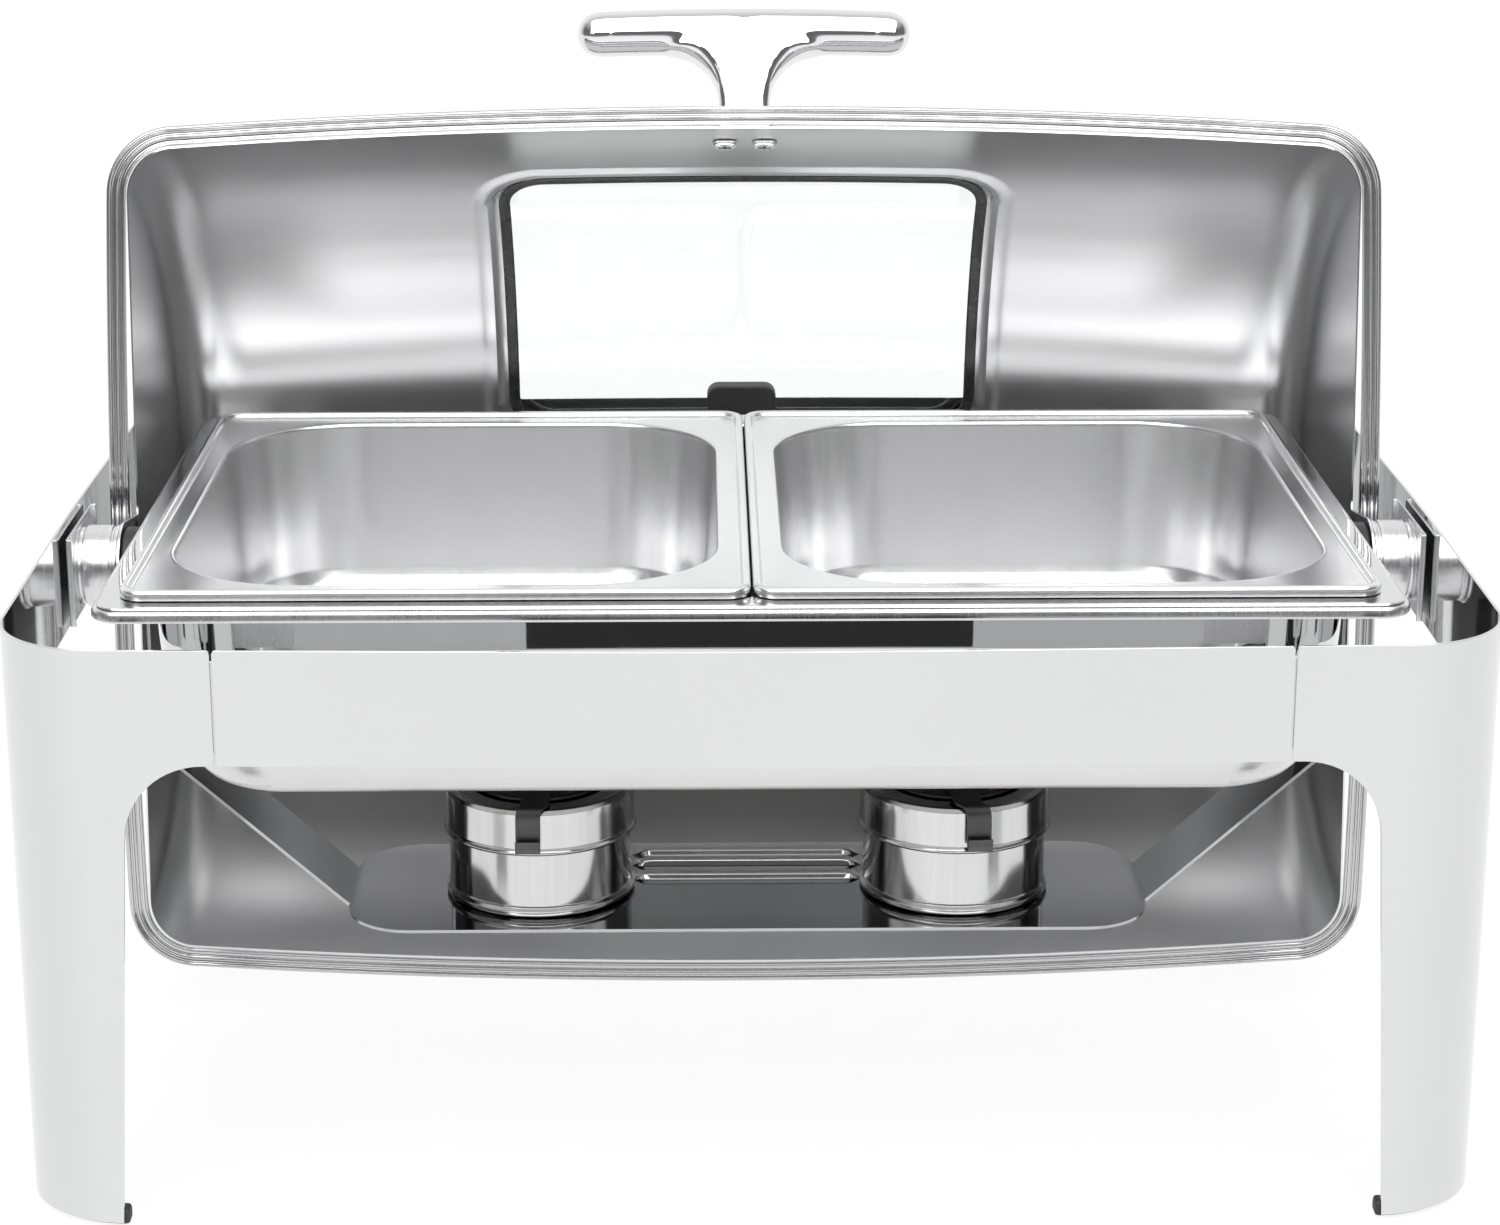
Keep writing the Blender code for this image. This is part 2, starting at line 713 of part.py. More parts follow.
SCREW = ((3.0, 199.0), (5.0, 199.6), (6.0, 200.8), (6.0, 201.5), (2.5, 201.5), (2.5, 215.4))
for side, x in (("left", -9.4), ("right", 9.4)):
    hole = cylinder("cut_screw_" + side, 2.9, 26.0, None, LID, CUTTERS, 16, Matrix.Identity(4))
    hole.location = Vector(along_handle(x, 203.0, 0.0)) * MM
    hole.rotation_euler = (HANDLE_AT - pi / 2, 0.0, 0.0)
    as_cutter(hole)
    combine(shell, hole)
    combine(handle, hole)
    made = turned("handle_screw_" + side, SCREW, CHROME, LID, at=(x, 0, 0), steps=16)
    made.rotation_euler = hole.rotation_euler


# The water pan and the two food pans -------------------------------------------


def dish(name, section, look, thickness, parent, cx=0.0, cy=0.0, z_off=0.0):
    """A pressed pan: rounded rectangles from its outer edge in to its bottom, as one sheet."""
    loops = [rounded(hx, hy, r, z - z_off, cx, cy) for hx, hy, r, z in section]
    bm = bmesh.new()
    rows = [[bm.verts.new(Vector(p) * MM) for p in loop] for loop in loops]
    for a, b in zip(rows, rows[1:]):
        for i in range(len(a)):
            j = (i + 1) % len(a)
            bm.faces.new((a[i], a[j], b[j], b[i]))
    floor = bm.faces.new(rows[-1])
    bm.normal_update()
    bmesh.ops.recalc_face_normals(bm, faces=bm.faces)
    if floor.normal.z < 0:
        bmesh.ops.reverse_faces(bm, faces=bm.faces)
    mesh = bpy.data.meshes.new(name)
    bm.to_mesh(mesh)
    bm.free()
    smooth(mesh)
    obj = add(name, mesh, look, parent)
    thicken(obj, thickness, -1.0)
    return obj


WATER_SECTION = (
    (273.2, 172.2, 11.5, 257.1),
    (272.7, 171.7, 11.0, 257.5),
    (258.4, 158.4, 14.0, 257.5),
    (256.0, 156.0, 30.0, 257.2),
    (254.9, 154.9, 38.0, 255.6),
    (254.6, 154.6, 38.5, 252.0),
    (254.1, 154.1, 38.5, 230.5),
    (252.6, 152.6, 38.4, 218.0),
    (246.5, 146.5, 38.0, 189.0),
    (243.8, 143.8, 37.5, 175.8),
    (238.4, 138.4, 35.0, 168.0),
    (229.0, 129.0, 30.0, 163.4),
    (216.0, 116.0, 22.0, 162.2),
)
dish("water_pan", WATER_SECTION, MIRROR_STEEL, 0.9, WATER, z_off=RIM_Z)

PAN_SECTION = (
    (132.2, 162.3, 10.5, 257.9),
    (132.2, 162.3, 10.5, 260.4),
    (131.3, 161.4, 9.6, 261.8),
    (129.4, 159.5, 9.0, 262.3),
    (127.5, 157.6, 9.0, 261.7),
    (126.2, 156.0, 10.0, 260.9),
    (121.6, 149.0, 52.0, 260.9),
    (119.6, 146.6, 60.0, 260.6),
    (118.4, 145.4, 59.6, 259.2),
    (117.9, 144.9, 59.2, 256.5),
    (112.8, 139.8, 56.0, 193.0),
    (111.2, 138.2, 55.0, 183.0),
    (108.2, 135.2, 53.0, 177.0),
    (101.6, 128.6, 48.0, 174.4),
)
for side, s in (("left", -1), ("right", 1)):
    seat = empty("food_pan_seat_" + side, (s * PAN_X, 0, 0), WATER)
    dish("food_pan_" + side, PAN_SECTION, SATIN_STEEL, 0.8, seat, z_off=RIM_Z)


# The burners -------------------------------------------------------------------

CUP = (
    (0.0, 0.3),
    (38.0, 0.3),
    (42.0, 0.8),
    (CUP_R, 2.4),
    (CUP_R, 51.4),
    (41.9, 51.4),
    (41.9, 3.2),
    (41.0, 2.2),
    (0.0, 1.7),
)
CAP = (
    (43.5, 32.0),
    (45.0, 31.8),
    (45.6, 33.0),
    (45.0, 34.2),
    (44.8, 35.2),
    (44.8, 50.8),
    (43.8, 53.0),
    (41.8, 53.7),
    (33.4, 53.7),
    (32.0, 52.9),
    (26.0, 52.9),
    (26.0, 51.8),
    (43.5, 51.8),
)
DISC = ((30.2, 53.3), (31.0, 53.8), (30.8, 54.5), (29.6, 54.9))
DAMPER_RIVET = ((2.8, 55.2), (2.8, 56.2), (1.8, 56.9))
STRIP = (
    (8.0, 55.6),
    (-10.0, 55.6),
    (-34.0, 55.6),
    (-44.0, 55.9),
    (-47.2, 55.2),
    (-48.6, 53.2),
    (-49.0, 50.0),
    (-49.4, 36.0),
)

for side, s, swing in (("left", -1, -3.0), ("right", 1, 11.0)):
    seat = empty("burner_seat_" + side, (s * BURNER_X, 0, SHELF_Z), FRAME)
    damper_turn = empty(
        "damper_axis_" + side, (0, 0, 0), seat, (0, 0, radians(swing))
    )
    turned("burner_cup_" + side, CUP, CHROME, seat)
    turned("burner_cap_" + side, CAP, CHROME, seat, ring=True)
    damper = turned("burner_damper_" + side, DISC, DARK_STEEL, damper_turn)
    rows = [[(x, y, z) for x in (-6.5, 6.5)] for y, z in STRIP]
    strip = sheet(
        "cut_strip_" + side,
        rows,
        None,
        1.5,
        -1.0,
        lambda p: Vector((0, -0.3, 1)),
        damper_turn,
        CUTTERS,
    )
    combine(damper, as_cutter(strip), "UNION")
    turned("damper_rivet_" + side, DAMPER_RIVET, CHROME, damper_turn, at=(10.4, 2.0, 0), steps=16)
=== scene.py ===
"""The looks of a roll-top chafing dish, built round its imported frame.

Named sizes are in millimetres. +Z is up, the front faces -Y, and the lid's axle runs along X over the origin.
Every piece is modelled where it stands at rest, with the lid open.
"""

import json
from math import acos, asin, atan, copysign, cos, hypot, pi, radians, sin, sqrt, tan

import bmesh
import bpy
from mathutils import Matrix, Vector


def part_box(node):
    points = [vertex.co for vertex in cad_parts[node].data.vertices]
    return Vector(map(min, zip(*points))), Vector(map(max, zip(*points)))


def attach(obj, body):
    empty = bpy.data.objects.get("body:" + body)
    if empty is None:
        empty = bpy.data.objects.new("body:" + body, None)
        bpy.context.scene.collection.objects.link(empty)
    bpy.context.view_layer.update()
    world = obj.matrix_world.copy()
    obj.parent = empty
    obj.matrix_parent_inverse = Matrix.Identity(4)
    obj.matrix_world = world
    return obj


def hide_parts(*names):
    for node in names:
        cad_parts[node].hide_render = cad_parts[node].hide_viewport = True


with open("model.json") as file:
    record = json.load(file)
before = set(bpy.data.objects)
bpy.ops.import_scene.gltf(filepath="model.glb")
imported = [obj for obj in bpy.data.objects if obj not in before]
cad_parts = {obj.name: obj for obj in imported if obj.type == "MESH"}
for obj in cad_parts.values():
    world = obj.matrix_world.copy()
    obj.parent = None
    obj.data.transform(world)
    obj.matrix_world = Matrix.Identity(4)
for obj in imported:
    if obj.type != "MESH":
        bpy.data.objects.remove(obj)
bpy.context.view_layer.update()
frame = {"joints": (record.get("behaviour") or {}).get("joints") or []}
MM = 0.001


# Sizes that come from the frame ------------


def span(node, axis):
    """Where a CAD node starts and ends along an axis."""
    low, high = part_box(node)
    return low[axis] / MM, high[axis] / MM


def middle(node, axis):
    return sum(span(node, axis)) / 2


SHEET = 1.2
FRONT_BOW = 6.0
SIDE_BOW = 2.0
BAND_BOTTOM, BAND_TOP = span("front_band", 2)
BAND_TRIM = 0.3
BAND_HALF = span("front_band", 0)[1] - BAND_TRIM
SEAM_GAP = 1.0
SEAM_X = BAND_HALF + SEAM_GAP
LEG_BOTTOM = span("side_frame_right", 2)[0]
FRONT_Y = -span("front_band", 1)[0] - FRONT_BOW
SIDE_X = span("side_frame_right", 0)[1] - SIDE_BOW
CORNER_R = 47.0
RIM_Z = span("water_pan", 2)[1]
PIVOT_Z = middle("pivot_shaft_right", 2)
CUP_LIFT = 0.3
SHELF_Z = span("burner_cup_right", 2)[0] - CUP_LIFT
PAN_X = middle("food_pan_right", 0)
BURNER_X = middle("burner_cup_right", 0)
ROLL = next(joint for joint in frame["joints"] if joint["name"] == "lid_roll")
LID_OPEN = radians(ROLL["range_deg"][0])
LID = Matrix.Translation((0, 0, PIVOT_Z * MM)) @ Matrix.Rotation(LID_OPEN, 4, "X")
SIDES = (("left", -1), ("right", 1))


# Materials ------------


class Nodes:
    """A node tree, with short calls that add nodes and fill their sockets."""

    def __init__(self, tree):
        self.nodes = tree.nodes
        self.links = tree.links
        self.coordinates = self.nodes.new("ShaderNodeTexCoord").outputs

    def fill(self, socket, value):
        """Links another node's output to the socket, or sets the socket to a constant."""
        if isinstance(value, bpy.types.NodeSocket):
            self.links.new(value, socket)
        else:
            socket.default_value = value

    def fill_all(self, node, sockets):
        for key, value in sockets.items():
            self.fill(node.inputs[key.replace("_", " ")], value)

    def add(self, kind, output, **sockets):
        """One output of a new node whose inputs are filled by name."""
        made = self.nodes.new("ShaderNode" + kind)
        self.fill_all(made, sockets)
        return made.outputs[output]

    def ranged(self, value, low, high, to_low, to_high):
        ends = {"From Min": low, "From Max": high, "To Min": to_low, "To Max": to_high}
        return self.add("MapRange", "Result", Value=value, **ends)

    def maths(self, operation, first, second):
        made = self.nodes.new("ShaderNodeMath")
        made.operation = operation
        self.fill(made.inputs[0], first)
        self.fill(made.inputs[1], second)
        return made.outputs["Value"]

    def mixed(self, share, first, second):
        """A colour between two, each of them a tuple or another node's colour."""
        made = self.nodes.new("ShaderNodeMix")
        made.data_type = "RGBA"
        self.fill(made.inputs["Factor"], share)
        for socket, colour in ((made.inputs[6], first), (made.inputs[7], second)):
            self.fill(socket, (*colour, 1.0) if isinstance(colour, tuple) else colour)
        return made.outputs[2]


class Finish(Nodes):
    """A Principled material and the procedural patterns that its sockets take."""

    def __init__(self, name, **sockets):
        self.material = bpy.data.materials.new(name)
        self.material.use_nodes = True
        super().__init__(self.material.node_tree)
        self.shader = self.nodes["Principled BSDF"]
        self.fill_all(self.shader, sockets)

    def noise(self, scale, stretch=(1, 1, 1), detail=3.0, roughness=0.5, shift=0.0):
        sockets = {"Scale": stretch, "Location": (shift, shift, shift), "Vector": self.coordinates["Object"]}
        place = self.add("Mapping", "Vector", **sockets)
        return self.add("TexNoise", "Fac", Scale=scale, Detail=detail, Roughness=roughness, Vector=place)

    def edges(self, low=0.52, high=0.62):
        """1 where an edge sticks out and wears, 0 on flat ground."""
        geometry = self.nodes.new("ShaderNodeNewGeometry")
        return self.ranged(geometry.outputs["Pointiness"], low, high, 0.0, 1.0)

    def set(self, socket, value):
        self.links.new(value, self.shader.inputs[socket])

    def bump(self, height, distance, strength=1.0, under=None):
        sockets = {"Distance": distance, "Strength": strength, "Height": height}
        if under is not None:
            sockets["Normal"] = under
        normal = self.add("Bump", "Normal", **sockets)
        self.set("Normal", normal)
        return normal


def polished(name, light, dark, smooth, dull, ripple=0.00014):
    """Mirror-polished metal: faint clouds and hairlines in its gloss, and the ripple of pressed sheet."""
    made = Finish(name, Metallic=1.0)
    clouds = made.noise(7.0, detail=4.0)
    smudges = made.ranged(made.noise(38.0, detail=5.0, roughness=0.65, shift=3.1), 0.5, 0.72, 0.0, 1.0)
    hairs = made.ranged(made.noise(420.0, (0.06, 1.0, 1.0), 2.0, shift=1.7), 0.58, 0.78, 0.0, 1.0)
    worn = made.edges()
    marks = made.maths("MAXIMUM", made.maths("MULTIPLY", smudges, 0.6), made.maths("MULTIPLY", hairs, 0.8))
    marks = made.maths("MAXIMUM", marks, worn)
    made.set("Roughness", made.ranged(marks, 0.0, 1.0, smooth, dull))
    made.set("Base Color", made.mixed(made.ranged(clouds, 0.3, 0.7, 0.0, 1.0), dark, light))
    rippled = made.bump(made.noise(8.0, detail=1.0, shift=5.3), ripple)
    made.bump(hairs, 0.000001, 0.6, rippled)
    return made.material


def satin(name, light, dark, smooth, dull, grain=(0.05, 1.0, 1.0), fine=450.0, depth=0.000004):
    """Brushed metal: its grain runs the way it is stretched, in its tone, its gloss and its relief."""
    made = Finish(name, Metallic=1.0)
    strokes = made.noise(fine, grain, 3.0, 0.6)
    broad = made.noise(fine * 0.16, tuple(0.6 * side for side in grain), 2.0, shift=2.3)
    clouds = made.noise(9.0, detail=4.0, shift=4.4)
    lines = made.maths("ADD", made.maths("MULTIPLY", strokes, 0.6), made.maths("MULTIPLY", broad, 0.4))
    tone = made.maths("ADD", made.maths("MULTIPLY", lines, 0.7), made.maths("MULTIPLY", clouds, 0.3))
    tone = made.maths("MAXIMUM", made.ranged(tone, 0.35, 0.65, 0.0, 1.0), made.edges())
    made.set("Base Color", made.mixed(tone, dark, light))
    made.set("Roughness", made.ranged(made.maths("ADD", lines, clouds), 0.75, 1.25, smooth, dull))
    made.bump(lines, depth, 0.8)
    return made.material


def rubber(name, dark, light, smooth, dull):
    made = Finish(name, IOR=1.5)
    pores = made.noise(1800.0, detail=3.0)
    dust = made.ranged(made.noise(60.0, detail=5.0, roughness=0.7), 0.45, 0.75, 0.0, 1.0)
    dust = made.maths("MAXIMUM", dust, made.edges(0.51, 0.6))
    made.set("Base Color", made.mixed(dust, dark, light))
    made.set("Roughness", made.ranged(dust, 0.0, 1.0, smooth, dull))
    made.bump(pores, 0.00005, 0.7)
    return made.material


def scorched(name):
    """Dark plated steel that heat has browned in clouds."""
    made = Finish(name, Metallic=0.9)
    clouds = made.noise(70.0, detail=5.0, roughness=0.65)
    grain = made.noise(1300.0, (1.0, 0.08, 1.0), 2.0, shift=2.0)
    tint = made.mixed(made.ranged(clouds, 0.35, 0.65, 0.0, 1.0), (0.045, 0.045, 0.048), (0.085, 0.08, 0.078))
    made.set("Base Color", made.mixed(made.edges(), tint, (0.22, 0.22, 0.23)))
    made.set("Roughness", made.ranged(made.maths("ADD", clouds, grain), 0.7, 1.3, 0.3, 0.5))
    made.bump(grain, 0.00003, 0.7)
    return made.material


def clear_glass(name):
    made = Finish(name, IOR=1.5, Transmission_Weight=1.0)
    haze = made.ranged(made.noise(30.0, detail=5.0, roughness=0.7), 0.5, 0.75, 0.0, 1.0)
    made.set("Roughness", made.ranged(haze, 0.0, 1.0, 0.0, 0.05))
    made.set("Base Color", made.mixed(haze, (0.985, 0.995, 0.99), (0.97, 0.985, 0.98)))
    made.bump(made.noise(5.0, detail=1.0), 0.00005, 0.5)
    return made.material


MIRROR = polished("mirror_steel", (0.70, 0.702, 0.705), (0.68, 0.682, 0.685), 0.035, 0.1)
INNER = satin(
    "lid_lining", (0.68, 0.68, 0.685), (0.65, 0.65, 0.655), 0.283, 0.288, (0.05, 1.0, 1.0), 150.0, 0.0000002
)
PAN = satin("pan_steel", (0.81, 0.81, 0.815), (0.785, 0.785, 0.79), 0.22, 0.27, (1.0, 1.0, 0.03), 300.0)
TURNED = satin("turned_steel", (0.76, 0.76, 0.765), (0.68, 0.68, 0.69), 0.22, 0.32, (1.0, 0.05, 0.05), 600.0)
STRAP = polished("strap_steel", (0.5, 0.5, 0.505), (0.46, 0.46, 0.465), 0.05, 0.12, 0.00006)
ROLLED = polished("rolled_steel", (0.58, 0.58, 0.585), (0.53, 0.53, 0.535), 0.13, 0.2, 0.00004)
SPUN = satin("spun_steel", (0.7, 0.7, 0.705), (0.6, 0.6, 0.605), 0.12, 0.2, (1.0, 1.0, 0.05), 260.0)
WARMED = satin("warmed_steel", (0.72, 0.72, 0.72), (0.66, 0.66, 0.66), 0.2, 0.28, (0.3, 1.0, 1.0), 120.0)
# Heat tint with painted shade: a darker brown-grey for the water pan's downward-facing bottom
HEAT_TINT_AND_SHADE = satin("heat_tint_and_shade_steel", (0.66, 0.65, 0.64), (0.56, 0.55, 0.54), 0.26, 0.36, (1.0, 1.0, 1.0), 120.0)
CHROME = polished("chrome", (0.81, 0.81, 0.82), (0.75, 0.75, 0.76), 0.025, 0.1, 0.00008)
SCORCHED = scorched("scorched_steel")
RUBBER = rubber("black_rubber", (0.016, 0.016, 0.016), (0.035, 0.034, 0.033), 0.45, 0.7)
GLOSSY_RUBBER = rubber("window_rubber", (0.02, 0.02, 0.021), (0.04, 0.04, 0.041), 0.22, 0.42)
GLASS = clear_glass("clear_glass")


# Shapes ------------


def smooth_value(p, q, r, s, t):
    """The value at share t of the way from q to r, on a smooth line that p and s lie on as well."""
    square = (2 * p - 5 * q + 4 * r - s) * t * t
    cube = (3 * q - p - 3 * r + s) * t**3
    return 0.5 * (2 * q + (r - p) * t + square + cube)


def through(points, steps, closed=False):
    """A smooth line through the points, which are tuples of any length."""
    count = len(points)

    def at(i):
        return points[i % count] if closed else points[min(max(i, 0), count - 1)]

    made = []
    for i in range(count if closed else count - 1):
        near = [at(i + k) for k in (-1, 0, 1, 2)]
        for k in range(steps):
            made.append(tuple(smooth_value(*values, k / steps) for values in zip(*near)))
    if not closed:
        made.append(tuple(points[-1]))
    return made


def eased(corners, radius=0.5, steps=4, closed=True):
    """A flat outline with its corners rounded. A corner may bring a radius of its own as its third value."""
    made = []
    count = len(corners)
    for i, corner in enumerate(corners):
        here = Vector(corner[:2])
        size = corner[2] if len(corner) > 2 else radius
        if (not closed and i in (0, count - 1)) or size <= 0:
            made.append(tuple(here))
            continue
        back = Vector(corners[i - 1][:2]) - here
        ahead = Vector(corners[(i + 1) % count][:2]) - here
        half = back.angle(ahead) / 2
        reach = min(size / tan(half), 0.45 * back.length, 0.45 * ahead.length)
        if reach < 1e-4 or half > radians(88):
            made.append(tuple(here))
            continue
        size = reach * tan(half)
        back.normalize()
        ahead.normalize()
        centre = here + (back + ahead).normalized() * (size / sin(half))
        start = here + back * reach - centre
        turn = start.angle_signed(here + ahead * reach - centre)
        for k in range(steps + 1):
            arm = start.copy()
            arm.rotate(Matrix.Rotation(-turn * k / steps, 2))
            made.append(tuple(centre + arm))
    return made


def spread(stops):
    """Values from stop to stop, each stretch of (start, step) in even steps of about that size."""
    made = []
    for (start, step), (end, _) in zip(stops, stops[1:]):
        count = max(1, round((end - start) / step))
        made += [start + (end - start) * k / count for k in range(count)]
    return made + [stops[-1][0]]


def ramp(value, start, end):
    """0 before start and 1 after end, with a smooth rise between them."""
    share = min(1.0, max(0.0, (value - start) / (end - start)))
    return share * share * (3 - 2 * share)


def rounded(hx, hy, r, z, cx=0.0, cy=0.0, steps=12):
    """A rounded rectangle's points at height z, the same number whatever its size."""
    points = []
    for quarter, (sx, sy) in enumerate(((1, 1), (-1, 1), (-1, -1), (1, -1))):
        for k in range(steps + 1):
            a = pi / 2 * (quarter + k / steps)
            points.append((cx + sx * (hx - r) + r * cos(a), cy + sy * (hy - r) + r * sin(a), z))
    return points


def loft(loops, ring=False, caps=(True, True), wrap=True, into=None):
    """A skin through loops of the same number of points. ring joins the last loop to the first."""
    bm = bmesh.new() if into is None else into
    rows = [[bm.verts.new(Vector(p) * MM) for p in loop] for loop in loops]
    pairs = list(zip(rows, rows[1:])) + ([(rows[-1], rows[0])] if ring else [])
    for a, b in pairs:
        for i in range(len(a) if wrap else len(a) - 1):
            j = (i + 1) % len(a)
            bm.faces.new((a[i], a[j], b[j], b[i]))
    for wanted, row in zip(caps, (rows[0], rows[-1])):
        if wanted and wrap and not ring:
            bm.faces.new(row)
    bmesh.ops.recalc_face_normals(bm, faces=bm.faces)
    return bm


def grid(rows, out):
    """An open sheet through rows of points, its faces turned the way that out says at a point."""
    return faced(loft(rows, caps=(False, False), wrap=False), out)


def faced(bm, out):
    bm.faces.ensure_lookup_table()
    face = bm.faces[len(bm.faces) // 2]
    if face.normal.dot(Vector(out(face.calc_center_median() / MM))) < 0:
        bmesh.ops.reverse_faces(bm, faces=bm.faces)
    return bm


def turned(profile, place=Matrix(), closed=False, steps=72):
    """A turned piece from (radius, height) points, placed by a matrix in millimetres."""
    bm = bmesh.new()
    rings = []
    for r, u in profile:
        turns = [2 * pi * k / steps for k in range(1 if r < 1e-6 else steps)]
        rings.append([bm.verts.new(place @ Vector((r * cos(a), r * sin(a), u)) * MM) for a in turns])
    for a, b in list(zip(rings, rings[1:])) + ([(rings[-1], rings[0])] if closed else []):
        for i in range(steps):
            j = (i + 1) % steps
            corners = [a[i % len(a)], a[j % len(a)], b[j % len(b)], b[i % len(b)]]
            bm.faces.new(list(dict.fromkeys(corners)))
    bmesh.ops.recalc_face_normals(bm, faces=bm.faces)
    return bm


def flat(outlines, axis, low, high):
    """Flat outlines, the later ones holes, made thick along an axis: 0 has them in YZ, 1 in XZ, 2 in XY."""
    curve = bpy.data.curves.new("outline", "CURVE")
    curve.dimensions = "2D"
    curve.fill_mode = "BOTH"
    curve.extrude = abs(high - low) / 2 * MM
    for outline in outlines:
        spline = curve.splines.new("POLY")
        spline.points.add(len(outline) - 1)
        for point, (a, b) in zip(spline.points, outline):
            point.co = (a * MM, b * MM, 0.0, 1.0)
        spline.use_cyclic_u = True
    drawn = bpy.data.objects.new("outline", curve)
    mesh = bpy.data.meshes.new_from_object(drawn)
    bpy.data.objects.remove(drawn, do_unlink=True)
    bm = bmesh.new()
    bm.from_mesh(mesh)
    bpy.data.meshes.remove(mesh)
    centre = (low + high) / 2 * MM
    turn = {
        0: Matrix(((0, 0, 1, centre), (1, 0, 0, 0), (0, 1, 0, 0), (0, 0, 0, 1))),
        1: Matrix(((1, 0, 0, 0), (0, 0, 1, centre), (0, 1, 0, 0), (0, 0, 0, 1))),
        2: Matrix.Translation((0, 0, centre)),
    }[axis]
    bmesh.ops.transform(bm, matrix=turn, verts=bm.verts)
    bmesh.ops.remove_doubles(bm, verts=bm.verts, dist=0.00001)
    bmesh.ops.dissolve_limit(bm, angle_limit=0.001, verts=bm.verts, edges=bm.edges)
    bmesh.ops.recalc_face_normals(bm, faces=bm.faces)
    return bm


def circle(r, a=0.0, b=0.0, steps=32):
    turns = [2 * pi * k / steps for k in range(steps)]
    return [(a + r * cos(t), b + r * sin(t)) for t in turns]


def added(name, data):
    """A new object in the scene."""
    obj = bpy.data.objects.new(name, data)
    bpy.context.scene.collection.objects.link(obj)
    return obj


def drawn_object(name, bm):
    mesh = bpy.data.meshes.new(name)
    bm.to_mesh(mesh)
    bm.free()
    return added(name, mesh)


def worked_in(obj):
    """The object's modifiers made part of its mesh."""
    graph = bpy.context.evaluated_depsgraph_get()
    mesh = bpy.data.meshes.new_from_object(obj.evaluated_get(graph))
    obj.modifiers.clear()
    old = obj.data
    obj.data = mesh
    bpy.data.meshes.remove(old)


def cut(obj, bm, operation="DIFFERENCE"):
    """Cuts a closed shape out of the object, or joins it on."""
    tool = drawn_object("tool", bm)
    made = obj.modifiers.new("cut", "BOOLEAN")
    made.operation = operation
    made.solver = "EXACT"
    made.object = tool
    worked_in(obj)
    bpy.data.objects.remove(tool, do_unlink=True)


def piece(name, bm, body, looks, stands_for=(), sheet=0.0, side=-1.0, ease=0.0, sharp=50.0, cuts=()):
    """Ends a piece: works in its thickness, its cuts and its eased edges, and has it ride on its body."""
    obj = drawn_object(name, bm)
    for look in looks:
        obj.data.materials.append(look)
    if sheet:
        made = obj.modifiers.new("thickness", "SOLIDIFY")
        made.thickness = sheet * MM
        made.offset = side
        made.use_even_offset = True
        made.material_offset = len(looks) - 1
        made.material_offset_rim = 0
        worked_in(obj)
    for shape in cuts:
        cut(obj, shape)
    if ease:
        made = obj.modifiers.new("eased", "BEVEL")
        made.width = ease * MM
        made.segments = 2
        made.limit_method = "ANGLE"
        made.angle_limit = radians(40)
        made.use_clamp_overlap = True
        worked_in(obj)
    obj.data.name = name
    obj.data.shade_smooth()
    obj.data.set_sharp_from_angle(angle=radians(sharp))
    if ease:
        obj.modifiers.new("flats", "WEIGHTED_NORMAL").keep_sharp = True
    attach(obj, body)
    if stands_for:
        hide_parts(*stands_for)
    return obj


# The frame: side sheets with their legs, and the two bands ------------

FLAT_X = SIDE_X - CORNER_R
FLAT_Y = FRONT_Y - CORNER_R
CORNER_RUN = CORNER_R * pi / 2
ARCH_R = 33.0
ARCH_FLOOR = -10.0
FRONT_ARCH = (266.2, 254.6)
SIDE_ARCH = (174.5, 163.0)
SEAM_CORNER = 1.6
SPLICE_HALF = 15.0
LINING_GAP = 0.3


def plan_point(x, y):
    """A point of the plain rounded rectangle, moved out by the slight bow of each side."""
    out_y = FRONT_BOW / 2 * (1 + cos(pi * min(abs(x), SIDE_X) / SIDE_X))
    out_x = SIDE_BOW / 2 * (1 + cos(pi * min(abs(y), FRONT_Y) / FRONT_Y))
    share_y = min(1.0, abs(y) / FRONT_Y) ** 4
    share_x = min(1.0, abs(x) / SIDE_X) ** 4
    return x + (out_x if x > 0 else -out_x) * share_x, y + (out_y if y > 0 else -out_y) * share_y


def run_point(run):
    """A point of one quarter of the plan: the front before 0, then the corner, then the side."""
    if run < 0:
        return FLAT_X + run, FRONT_Y
    if run < CORNER_RUN:
        return FLAT_X + CORNER_R * sin(run / CORNER_R), FLAT_Y + CORNER_R * cos(run / CORNER_R)
    return SIDE_X, FLAT_Y - (run - CORNER_RUN)


def run_at_x(x):
    return x - FLAT_X if x < FLAT_X else CORNER_R * asin((x - FLAT_X) / CORNER_R)


def run_at_y(y):
    return CORNER_RUN + FLAT_Y - y if y < FLAT_Y else CORNER_R * acos((y - FLAT_Y) / CORNER_R)


def arch_edge(z, arch):
    """An arch's half-width at height z: its side is a leaning line that a fillet turns into the top."""
    foot, head = arch
    lean = atan((foot - head) / (BAND_BOTTOM - ARCH_FLOOR))
    level = BAND_BOTTOM - ARCH_R
    if z < level + ARCH_R * sin(lean):
        return head + (BAND_BOTTOM - z) * tan(lean)
    centre = head + ARCH_R * tan(lean) - ARCH_R / cos(lean)
    return centre + sqrt(max(0.0, ARCH_R**2 - (z - level) ** 2))


def corner_inset(z):
    """How far the rounded corner of a sheet holds its end back at height z."""
    over = max(0.0, z - (BAND_TOP - SEAM_CORNER), BAND_BOTTOM + SEAM_CORNER - z)
    return SEAM_CORNER - sqrt(max(0.0, SEAM_CORNER**2 - over**2))


def band_heights():
    steps = [SEAM_CORNER * (1 - cos(pi / 2 * k / 4)) for k in range(5)]
    inner = [BAND_BOTTOM + 8 + (BAND_TOP - BAND_BOTTOM - 16) * k / 4 for k in range(5)]
    return [BAND_BOTTOM + s for s in steps] + inner + [BAND_TOP - s for s in reversed(steps)]


